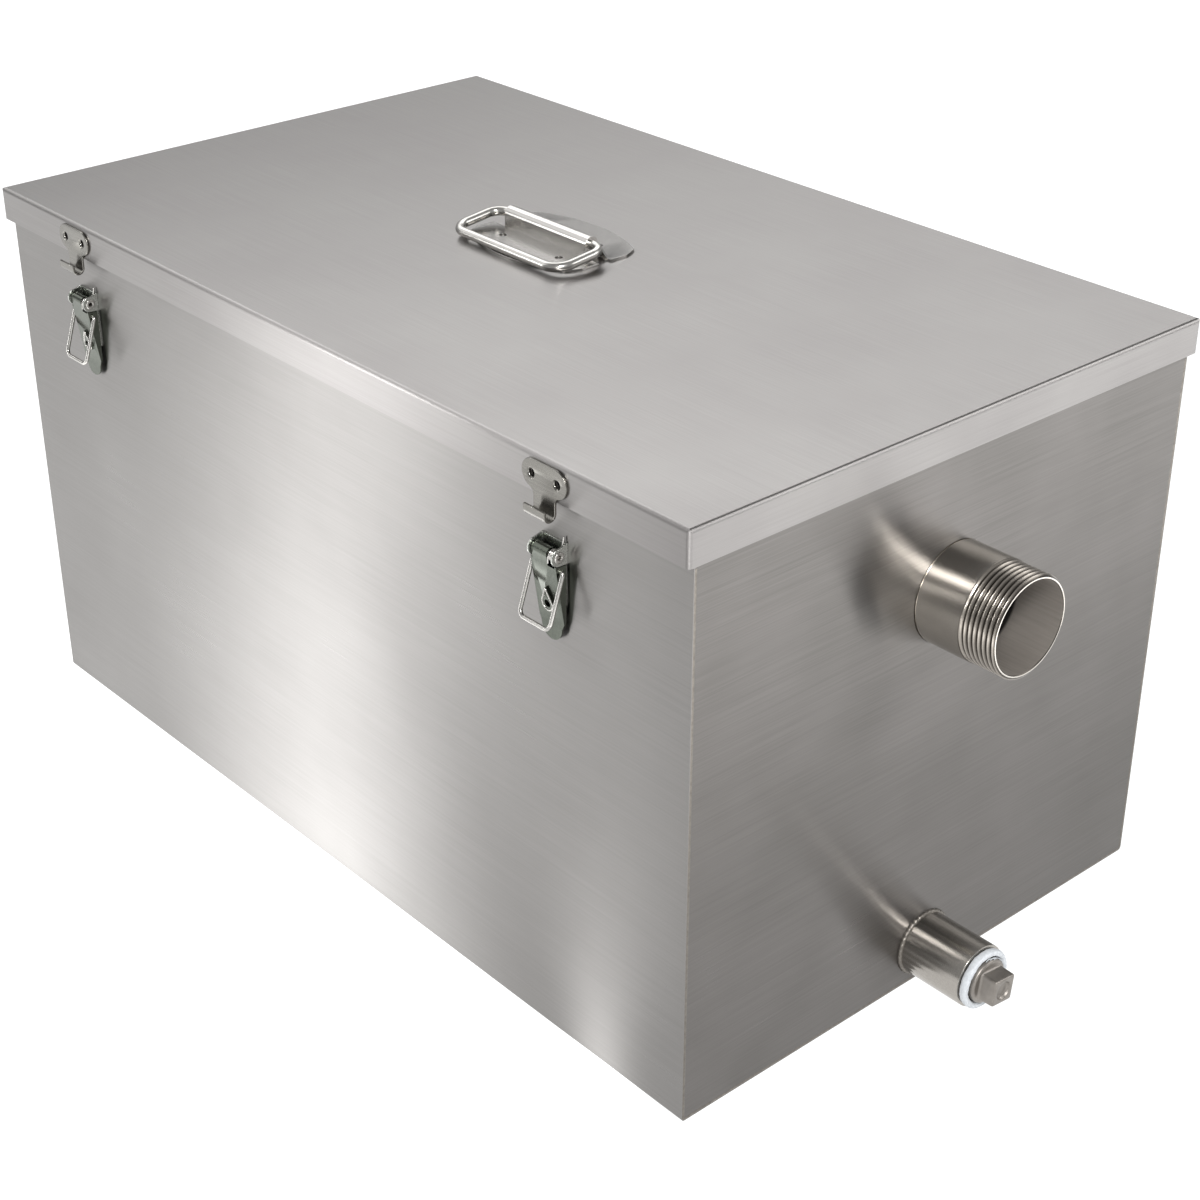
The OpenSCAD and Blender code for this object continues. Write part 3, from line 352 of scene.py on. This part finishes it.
# Drain socket: a short turned sleeve set over a hole in the outlet end plate and welded all round.
# The weld is left as laid, a ring of small overlapping scallops, dark in the hollows.
DRAIN = np.array((TANK_L / 2, 0, 24.5 * MM))
SOCKET_R, SOCKET_OUT, SOCKET_BORE = 19.7 * MM, 43.4 * MM, 15.08 * MM
BEAD_L, BEAD_H = 1.9 * MM, 1.5 * MM
bead = np.linspace(0, np.pi / 2, 9)
socket_line = np.concatenate([
    [(-SHEET, SOCKET_BORE), (-SHEET, SOCKET_R), (0, SOCKET_R)],
    np.stack([BEAD_L * np.sin(bead), SOCKET_R + BEAD_H * np.cos(bead)], -1),
    [(BEAD_L + 0.3 * MM, SOCKET_R), (SOCKET_OUT - 0.6 * MM, SOCKET_R),
     (SOCKET_OUT - 0.2 * MM, SOCKET_R - 0.2 * MM), (SOCKET_OUT, SOCKET_R - 0.6 * MM),
     (SOCKET_OUT, SOCKET_BORE + 0.4 * MM), (SOCKET_OUT - 0.4 * MM, SOCKET_BORE), (-SHEET, SOCKET_BORE)]])
SIDES, SCALLOPS, BEAD_ROWS = 192, 17, slice(3, 3 + len(bead))
SCALLOP_H, SCALLOP_LOW = 0.6 * MM, 0.35 * MM
socket_grid = turned_x(socket_line, SIDES)
turn = np.linspace(0, 2 * np.pi, SIDES, endpoint=False)[None]
scallop = np.abs(np.sin(SCALLOPS * turn + 0.5 * np.sin(3 * turn))) * SCALLOP_H
puff = np.zeros((len(socket_line), 1))
puff[BEAD_ROWS, 0] = np.sin(np.linspace(0.5, np.pi - 0.2, len(bead)))
radius = np.linalg.norm(socket_grid[..., 1:], axis=-1)
socket_grid[..., 1:] *= (1 + puff * (scallop - SCALLOP_LOW) / radius)[..., None]
drain_socket = surface("drain_socket_welded", socket_grid + DRAIN, sharp=32)

# Socket stainless: turned from thick tube and buffed, a shade darker than the drawn pipe.
socket_steel = polished("buffed_socket_stainless", "9a9690", "aeaaa4", 0.18, 0.28)
drain_socket.data.materials.append(socket_steel)
drain_socket.data.materials.append(weld_seam)
middle = np.empty(3 * len(drain_socket.data.polygons), np.float32)
drain_socket.data.polygons.foreach_get("center", middle)
laid = (middle[0::3] - DRAIN[0] < BEAD_L + 0.1 * MM) & (middle[0::3] > DRAIN[0])
drain_socket.data.polygons.foreach_set("material_index", laid.astype(np.int32))
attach(drain_socket, "tank")
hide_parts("drain_socket")


# Drain plug: a cast plug with a round collar and a square head, cored with a shallow dish.
# It screws into the socket; the casting's corners are rounded and its faces are bead blasted.
def squared(turn, power):
    """Radius of a square with round corners: (|cos|^p + |sin|^p) to the power -1/p; p = 2 is a circle."""
    return (np.abs(np.cos(turn)) ** power + np.abs(np.sin(turn)) ** power) ** (-1 / power)


# Each row is a place along the plug from the socket's mouth, its radius and how square it is there.
SHANK = [(-16, 0, 2), (-16, 14.2, 2), (-15.2, 15, 2), (-0.6, 15, 2), (0, 14.5, 2)]
COLLAR = [(0.01, 14.02, 2), (5.9, 14, 2), (6.7, 13.6, 2), (7.1, 12.9, 2), (7.2, 12, 2.2), (7.25, 9.6, 6)]
HEAD = [(7.7, 8.75, 14), (8.7, 8.45, 18), (12.5, 8.4, 18), (16.9, 8.3, 18), (17.6, 8.1, 18), (17.92, 7.7, 16),
        (18, 7.1, 12), (18, 6.5, 4)]
DISH = [(17.97, 6.1, 2), (17.6, 5.75, 2), (16.6, 5.4, 2), (16, 4.6, 2), (15.9, 3.6, 2), (16.1, 0, 2)]
HEAD_TURN = math.radians(-7)
plug_rows = np.array([*SHANK, *COLLAR, *HEAD, *DISH])
turn = np.linspace(0, 2 * np.pi, SIDES, endpoint=False)
radius = plug_rows[:, 1:2] * np.stack([squared(turn, p) for p in plug_rows[:, 2]])
swing = turn[None] + HEAD_TURN
plug_grid = np.stack([plug_rows[:, :1] + 0 * turn, radius * np.cos(swing), radius * np.sin(swing)], -1) * MM
mouth = DRAIN + np.array((SOCKET_OUT, 0, 0))
drain_plug = surface("drain_plug_cast", plug_grid + mouth, sharp=50)

# Bead-blasted stainless casting: an even grey with a fine grain of 0.4 mm and soft wide highlights.
cast_steel, tree, shader, place = bare("blasted_cast_stainless", Metallic=1.0)
grain = put(tree, "ShaderNodeTexNoise", {"Vector": place, "Scale": 1 / (0.4 * MM), "Detail": 2.0}).outputs[0]
patch = put(tree, "ShaderNodeTexNoise", {"Vector": place, "Scale": 1 / (6 * MM), "Detail": 3.0}).outputs[0]
tone = put(tree, "ShaderNodeMixRGB", {"Fac": patch, "Color1": linear("807b76"), "Color2": linear("99948e")})
gloss = put(tree, "ShaderNodeMapRange", {"Value": patch, "To Min": 0.48, "To Max": 0.34})
relief = put(tree, "ShaderNodeBump", {"Height": grain, "Strength": 0.25, "Distance": 0.08 * MM})
tree.links.new(tone.outputs[0], shader.inputs["Base Color"])
tree.links.new(gloss.outputs[0], shader.inputs["Roughness"])
tree.links.new(relief.outputs[0], shader.inputs["Normal"])
drain_plug.data.materials.append(cast_steel)
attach(drain_plug, "drain_plug")
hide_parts("drain_plug")


# Seal tape: thin white film wound on the plug's thread, which bunches into a roll as the plug goes in.
# The roll has creases round it, and torn strands of the film lie over the plug's collar.
turn = np.linspace(0, 2 * np.pi, 360, endpoint=False)[None]
ring = np.linspace(0, 2 * np.pi, 49)[:, None]
crease = (0.16 * np.sin(23 * turn + 2 * np.sin(ring)) + 0.12 * np.sin(41 * turn - 3 * ring + np.sin(5 * turn))
          + 0.3 * np.sin(5 * turn + 1.3) * np.cos(ring) + 0.22 * np.sin(9 * turn + ring)
          + 0.1 * np.sin(6 * ring + 3 * np.sin(4 * turn)))
ROLL_X, ROLL_R, SWELL = 2.85 * MM, 16.7 * MM, 0.8
half_l, half_r = (2.55 + 0.35 * crease) * MM, (2.05 + 0.3 * crease) * MM
tape_x = ROLL_X + half_l * np.sign(np.cos(ring)) * np.abs(np.cos(ring)) ** SWELL
tape_r = ROLL_R + half_r * np.sign(np.sin(ring)) * np.abs(np.sin(ring)) ** SWELL
rolls = [np.stack([tape_x, tape_r * np.cos(turn), tape_r * np.sin(turn)], -1)]
# Each strand has the angle where it begins, how far round it goes, its place along the plug and its climb.
STRANDS = ((35, 40, 5.3, 1.1), (52, 34, 5.1, 0.7), (68, 30, 5.6, -0.5), (20, 26, 5.2, 0.9))
STRAND_R, STRAND_OUT = 0.24 * MM, 14.2
for begin, reach, off, climb in STRANDS:
    part = np.linspace(0, 1, 24)
    round_to = np.radians(begin + reach * part)
    lift = (STRAND_OUT + 0.25 * np.sin(np.pi * part)) * MM
    strand = np.stack([(off + climb * part + 0.2 * np.sin(7 * part)) * MM, lift * np.cos(round_to),
                       lift * np.sin(round_to)], -1)
    rolls.append(wire(strand, STRAND_R, (1, 0, 0), 10))
drain_tape = surface("drain_tape_bunched", *[roll + mouth for roll in rolls], sharp=60)

# Thread-seal film: soft white fluoropolymer, waxy, a little see-through where it is thin.
film, tree, shader, place = bare("thread_seal_film", Metallic=0.0, Subsurface_Weight=0.15, IOR=1.36)
shader.inputs["Subsurface Radius"].default_value = (MM, MM, MM)
fold = put(tree, "ShaderNodeTexNoise", {"Vector": place, "Scale": 1 / (1.2 * MM), "Detail": 3.0}).outputs[0]
tone = put(tree, "ShaderNodeMixRGB", {"Fac": fold, "Color1": linear("b4b9be"), "Color2": linear("d4d7da")})
gloss = put(tree, "ShaderNodeMapRange", {"Value": fold, "To Min": 0.62, "To Max": 0.42})
relief = put(tree, "ShaderNodeBump", {"Height": fold, "Strength": 0.35, "Distance": 0.2 * MM})
tree.links.new(tone.outputs[0], shader.inputs["Base Color"])
tree.links.new(gloss.outputs[0], shader.inputs["Roughness"])
tree.links.new(relief.outputs[0], shader.inputs["Normal"])
drain_tape.data.materials.append(film)
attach(drain_tape, "drain_tape")
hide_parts("drain_tape")


# Lid: a shallow pan folded from the same satin sheet, with its corners welded and dressed.
# A flat rubber ring under it seals on the tank's folded rim.
# Lid stainless: the same sheet and grinding, painted a shade paler than the walls, as painted light on the
# lid.
lid_sheet = satin_sheet("satin_ground_lid_stainless_painted_light", "868382", "92908e", 0.3)
give(lid_sheet, "lid_pan")

# Gasket rubber: cut from moulded sheet, nearly black, matt, with a fine grain of 0.6 mm.
rubber, tree, shader, place = bare("gasket_rubber_sheet", Metallic=0.0)
grain = put(tree, "ShaderNodeTexNoise", {"Vector": place, "Scale": 1 / (0.6 * MM), "Detail": 2.0}).outputs[0]
tone = put(tree, "ShaderNodeMixRGB", {"Fac": grain, "Color1": linear("1b1b1c"), "Color2": linear("2a2a2b")})
gloss = put(tree, "ShaderNodeMapRange", {"Value": grain, "To Min": 0.78, "To Max": 0.6})
tree.links.new(tone.outputs[0], shader.inputs["Base Color"])
tree.links.new(gloss.outputs[0], shader.inputs["Roughness"])
give(rubber, "lid_gasket")


# Strikes: four small plates pressed from satin strip with a hooked lip, riveted to the lid's skirt.
# The press rolls their edges over, and these catch the light.
def pressed(node, body, edge, mat):
    """A pressing: the CAD node's shape with doubles merged and sharp edges rounded by the edge radius."""
    mesh = bpy.data.meshes.new(node + "_pressed")
    shell = bmesh.new()
    shell.from_mesh(nodes[node].data)
    bmesh.ops.remove_doubles(shell, verts=shell.verts, dist=2e-6)
    bmesh.ops.dissolve_limit(shell, angle_limit=math.radians(0.6), verts=shell.verts, edges=shell.edges)
    shell.to_mesh(mesh)
    shell.free()
    mesh.polygons.foreach_set("use_smooth", np.ones(len(mesh.polygons), bool))
    mesh.set_sharp_from_angle(angle=math.radians(30))
    mesh.materials.clear()
    mesh.materials.append(mat)
    made = bpy.data.objects.new(node + "_pressed", mesh)
    bpy.context.scene.collection.objects.link(made)
    soft = made.modifiers.new("rolled_edges", "BEVEL")
    soft.width, soft.segments, soft.limit_method, soft.angle_limit = edge, 2, "ANGLE", math.radians(40)
    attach(made, body)
    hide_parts(node)


# Satin strip: rolled narrow and ground with a fine belt before it is pressed, so it is dark and clear.
STRIKE_EDGE = 0.35 * MM
strip_steel = satin_sheet("satin_strip_stainless", "6f6d6a", "85837d", 0.22)
LATCHES = {"fl": (-1, -1), "fr": (1, -1), "bl": (-1, 1), "br": (1, 1)}
for key in LATCHES:
    pressed("strike_" + key, "lid", STRIKE_EDGE, strip_steel)


# Lid handle: a pressed plate with a raised barrel, spot welded to the lid, and a closed ring of wire
# that turns in the barrel and falls forward. Both are polished; the pressing's edges are rolled soft.
# Plate stainless: pressed from bright rolled sheet and then barrel polished.
PLATE_EDGE = 0.35 * MM
plate_steel = polished("polished_plate_stainless", "a6a4a1", "b8b6b3", 0.16, 0.28)
pressed("handle_plate", "lid", PLATE_EDGE, plate_steel)
ARM, DEEP, RING_R, BACK_R, FRONT_R = 49.5 * MM, 37 * MM, 3 * MM, 10 * MM, 11 * MM
TILT, PIVOT = math.radians(6.517), np.array((-10, 3, 372.2)) * MM
corners = np.array([(0, 0, 0), (-ARM, 0, 0), (-ARM, -DEEP, 0), (ARM, -DEEP, 0), (ARM, 0, 0), (0, 0, 0)])
flat = bent(corners, [BACK_R, FRONT_R, FRONT_R, BACK_R], 16)[:-1]
fallen = flat[:, :1] * (1, 0, 0) + flat[:, 1:2] * (0, math.cos(TILT), math.sin(TILT)) + PIVOT
upright = (0, -math.sin(TILT), math.cos(TILT))
handle_ring = surface("lid_handle_ring", wire(fallen, RING_R, upright, 28, loop=True), sharp=60)
handle_ring.data.materials.append(bright_wire)
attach(handle_ring, "lid_handle")
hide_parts("handle_bail")


# Toggle latches: a bracket spot welded to the wall, a lever that turns on a hollow rivet, a coiled
# spring beside it, and a wire bail that reaches up to the strike on the lid's skirt.
# A drop-shaped eye is pressed out of each lever's face with a rounded rim.
LATCH_X, LATCH_OFF = 229 * MM, -5 * MM


def place_wall(grid, x, y):
    """Sets a piece drawn on the front wall at one of the four latches; back ones are turned half round."""
    turned = grid if y < 0 else grid * np.array((-1, -1, 1))
    return turned + np.array((x * LATCH_X + LATCH_OFF, y * TANK_W / 2, 0))


RIVET_OUT, RIVET_Z = 5.6 * MM, 311.8 * MM
RIVET = np.array((0, -RIVET_OUT, RIVET_Z))
HALF_RIVET = np.array([(0, 1.2), (9.9, 1.2), (10.15, 1.35), (10.3, 1.7), (10.3, 2.5), (10.2, 2.95),
                       (10, 3.15), (9.82, 3.2), (9.8, 2), (0, 2)]) * MM
rivet = turned_x(np.concatenate([HALF_RIVET, HALF_RIVET[::-1] * (-1, 1)]), 40) + RIVET

COIL_R, COIL_FROM, COIL_L, COIL_TURNS, SPRING_R = 2.91 * MM, 4.25 * MM, 3.7 * MM, 4.5, 0.45 * MM
FOOT_LOW, FOOT_TOP, ARM_LOW, ARM_OUT, ARM_TOP = -4.1 * MM, -0.4 * MM, 0.5 * MM, 4.6 * MM, 9.6 * MM
COIL_TO = COIL_FROM + COIL_L
turns = np.linspace(0, 1, 120)
angle = np.pi + turns * 2 * np.pi * COIL_TURNS
coil = np.stack([COIL_FROM + COIL_L * turns, COIL_R * np.cos(angle), COIL_R * np.sin(angle)], -1)
down = np.linspace((COIL_FROM, -COIL_R, FOOT_LOW), (COIL_FROM, -COIL_R, FOOT_TOP), 5)
up = np.linspace((COIL_TO, COIL_R, ARM_LOW), (COIL_TO, ARM_OUT, ARM_TOP), 8)
spring = wire(np.concatenate([down, coil, up]) + RIVET, SPRING_R, (1, 0, 0), 10)

BAIL_X, BAIL_L, BAIL_END, BAIL_R = 11.9 * MM, 31.369 * MM, 7.8 * MM, 1.19 * MM
LEAN, BAIL_PIVOT = math.radians(72), np.array((0, -5, 303.6)) * MM
BAIL_BENDS = [1.5 * MM, 4 * MM, 4 * MM, 1.5 * MM]
legs = np.array([(-BAIL_END, 0, 0), (-BAIL_X, 0, 0), (-BAIL_X, -BAIL_L, 0),
                 (BAIL_X, -BAIL_L, 0), (BAIL_X, 0, 0), (BAIL_END, 0, 0)])
flat = bent(legs, BAIL_BENDS)
hung = flat[:, :1] * (1, 0, 0) + flat[:, 1:2] * (0, math.cos(LEAN), math.sin(LEAN)) + BAIL_PIVOT
bail_grid = wire(hung, BAIL_R, (0, -math.sin(LEAN), math.cos(LEAN)))

LEVER_L, BARREL_R, TIP_OUT = 39.8 * MM, 3.4 * MM, 2.8 * MM
EYE_R, EYE_TAIL, EYE_HIGH, EYE_RIM = 4 * MM, 9.2 * MM, 1.25 * MM, 0.5 * MM
EYE_UP, TAIL_HALF = 10 * MM, 0.1 * MM
SLOPE = math.atan((RIVET_OUT + BARREL_R - TIP_OUT) / LEVER_L)
EYE_AT = np.array((0, -TIP_OUT - EYE_UP * math.tan(SLOPE), RIVET_Z - LEVER_L + EYE_UP))
part = math.acos(EYE_R / EYE_TAIL)
arc = np.linspace(math.pi / 2 - part, -3 * math.pi / 2 + part, 40)
left, right = EYE_R * np.array([(-math.sin(part), math.cos(part)), (math.sin(part), math.cos(part))])
drop = np.concatenate([EYE_R * np.stack([np.cos(arc), np.sin(arc)], -1),
                       np.linspace(left, (-TAIL_HALF, EYE_TAIL), 9)[1:],
                       np.linspace((TAIL_HALF, EYE_TAIL), right, 9)[:-1]])
face_up = np.array((0, -math.sin(SLOPE), math.cos(SLOPE)))
face_out = np.array((0, -math.cos(SLOPE), -math.sin(SLOPE)))
rim_line = drop[:, :1] * (1, 0, 0) + drop[:, 1:] * face_up + EYE_HIGH * face_out + EYE_AT
eye_rim = wire(rim_line, EYE_RIM, face_out, 12, loop=True)

# Lever pressings are polished to a mirror, and their dark greenish tone is a painted reflection of dark
# surroundings; brackets are only tumbled, so they are paler and softer.
BRACKET_EDGE, LEVER_EDGE = 0.18 * MM, 0.2 * MM
mirror_steel = polished("barrel_polished_pressed_stainless_painted_reflection", "50544d", "666a62", 0.12, 0.22)
bracket_steel = polished("tumbled_bracket_stainless", "a2a49f", "b6b8b3", 0.2, 0.34)
for key, (x, y) in LATCHES.items():
    rim = surface("eye_rim_" + key, place_wall(eye_rim, x, y), sharp=60)
    rim.data.materials.append(bright_wire)
    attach(rim, "lever_" + key)
    pressed("bracket_" + key, "tank", BRACKET_EDGE, bracket_steel)
    pressed("lever_" + key, "lever_" + key, LEVER_EDGE, mirror_steel)
    bail = surface("bail_wire_" + key, place_wall(bail_grid, x, y), sharp=60)
    bail.data.materials.append(bright_wire)
    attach(bail, "bail_" + key)
    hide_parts("bail_" + key)
all_rivets = [place_wall(rivet, x, y) for x, y in LATCHES.values()]
all_springs = [place_wall(spring, x, y) for x, y in LATCHES.values()]
latch_rivets = surface("latch_rivets_rolled", *all_rivets)
latch_springs = surface("latch_springs_coiled", *all_springs, sharp=60)
for made, node in ((latch_rivets, "latch_rivets"), (latch_springs, "latch_springs")):
    made.data.materials.append(bright_wire)
    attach(made, "tank")
    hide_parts(node)


# Stage: a white light table, a dim studio and soft lamps, and the camera at the photograph's angle.
# The table is opal acrylic lit from below, so that it stays white beside the part.
HALF = 15
table_corners = [(-HALF, -HALF, 0), (HALF, -HALF, 0), (HALF, HALF, 0), (-HALF, HALF, 0)]
floor_mesh = bpy.data.meshes.new("light_table")
floor_mesh.from_pydata(table_corners, [], [(0, 1, 2, 3)])
floor = bpy.data.objects.new("light_table", floor_mesh)
bpy.context.scene.collection.objects.link(floor)

# Opal acrylic over lamps: an even white glow, with three brighter tubes that run out from the front wall
# and a wide one beyond the outlet.
# Each tube has the direction across it, its distance from the middle, its width, its extra glow, and
# the axis and the two places between which it starts.
TABLE = 1.02
TUBES = (((0.453, -0.892, 0), 0.045, 0.1, 0.45, 1, -0.15, -0.2),
         ((0.578, -0.816, 0), 0.158, 0.072, 2.8, 1, -0.15, -0.2),
         ((0.661, -0.75, 0), 0.316, 0.016, 1.7, 1, -0.15, -0.2),
         ((1, 0, 0), 0.88, 0.18, 3.0, 0, 0.33, 0.4))
opal, tree, shader, place = bare("opal_acrylic_table", Roughness=0.9, Specular_IOR_Level=0.1)
mottle = put(tree, "ShaderNodeTexNoise", {"Vector": place, "Scale": 3.0, "Detail": 2.0}).outputs[0]
tone = put(tree, "ShaderNodeMixRGB", {"Fac": mottle, "Color1": linear("6a6a6a"), "Color2": linear("707070")})
glow = put(tree, "ShaderNodeMixRGB", {"Fac": mottle, "Color1": linear("fcfcfc"), "Color2": linear("ffffff")})
xyz, lit = put(tree, "ShaderNodeSeparateXYZ", {0: place}).outputs, TABLE
for across, off, width, power, axis, start, full in TUBES:
    from_tube = put(tree, "ShaderNodeVectorMath", {0: place, 1: across}, operation="DOT_PRODUCT").outputs[1]
    spread = put(tree, "ShaderNodeMath", {0: from_tube, 1: off}, operation="SUBTRACT").outputs[0]
    wide = put(tree, "ShaderNodeMath", {0: spread, 1: width}, operation="DIVIDE").outputs[0]
    square = put(tree, "ShaderNodeMath", {0: wide, 1: wide}, operation="MULTIPLY").outputs[0]
    fade = put(tree, "ShaderNodeMath", {0: math.exp(-1), 1: square}, operation="POWER").outputs[0]
    begun = put(tree, "ShaderNodeMapRange", {"Value": xyz[axis], "From Min": start, "From Max": full})
    tube = put(tree, "ShaderNodeMath", {0: fade, 1: begun.outputs[0]}, operation="MULTIPLY").outputs[0]
    lit = put(tree, "ShaderNodeMath", {0: tube, 1: power, 2: lit}, operation="MULTIPLY_ADD").outputs[0]
tree.links.new(tone.outputs[0], shader.inputs["Base Color"])
tree.links.new(glow.outputs[0], shader.inputs["Emission Color"])
tree.links.new(lit, shader.inputs["Emission Strength"])
floor.data.materials.append(opal)

SKY = 0.45
world = bpy.data.worlds.new("dim_studio")
bpy.context.scene.world = world
world.use_nodes = True
sky = world.node_tree.nodes["Background"]
sky.inputs["Color"].default_value = (1.0, 1.0, 1.0, 1.0)
sky.inputs["Strength"].default_value = SKY


def softbox(name, at, aim, size, power):
    """A rectangular lamp at one point that faces another."""
    lamp = bpy.data.lights.new(name, "AREA")
    lamp.shape, lamp.size, lamp.size_y, lamp.energy = "RECTANGLE", *size, power
    made = bpy.data.objects.new(name, lamp)
    made.location = at
    made.rotation_euler = (Vector(aim) - Vector(at)).to_track_quat("-Z", "Y").to_euler()
    bpy.context.scene.collection.objects.link(made)


softbox("back_sheet", (-1.453, 1.177, 2.166), (0, 0, 0.36), (3.0, 1.69), 38)
softbox("right_sheet", (1.51, 1.54, 1.33), (0.35, 0, 0.26), (1.4, 1.0), 14)
softbox("side_window", (-1.78, -0.83, 1.71), (0, 0, 0.33), (2.2, 1.2), 9)
softbox("tall_strip", (-1.62, -1.665, 0.5), (0.015, -0.193, 0.25), (0.16, 1.0), 6)
softbox("key_lamp", (1.41, -0.96, 1.65), (0.35, 0, 0.26), (0.45, 0.45), 34)
softbox("low_lamp", (1.41, -1.55, 0.92), (0.35, 0, 0.26), (0.3, 0.3), 6)

lens = bpy.data.cameras.new("photo_camera")
lens.sensor_width, lens.lens = 36.0, 67.35
camera = bpy.data.objects.new("photo_camera", lens)
STAND, LOOK = (0.99203, -0.83959, 0.83710), Vector((-0.65651, 0.57845, -0.48414)).normalized()
camera.matrix_world = Matrix.Translation(STAND) @ LOOK.to_track_quat("-Z", "Y").to_matrix().to_4x4()
bpy.context.scene.collection.objects.link(camera)
bpy.context.scene.camera = camera
bpy.context.scene.view_settings.view_transform = "Standard"
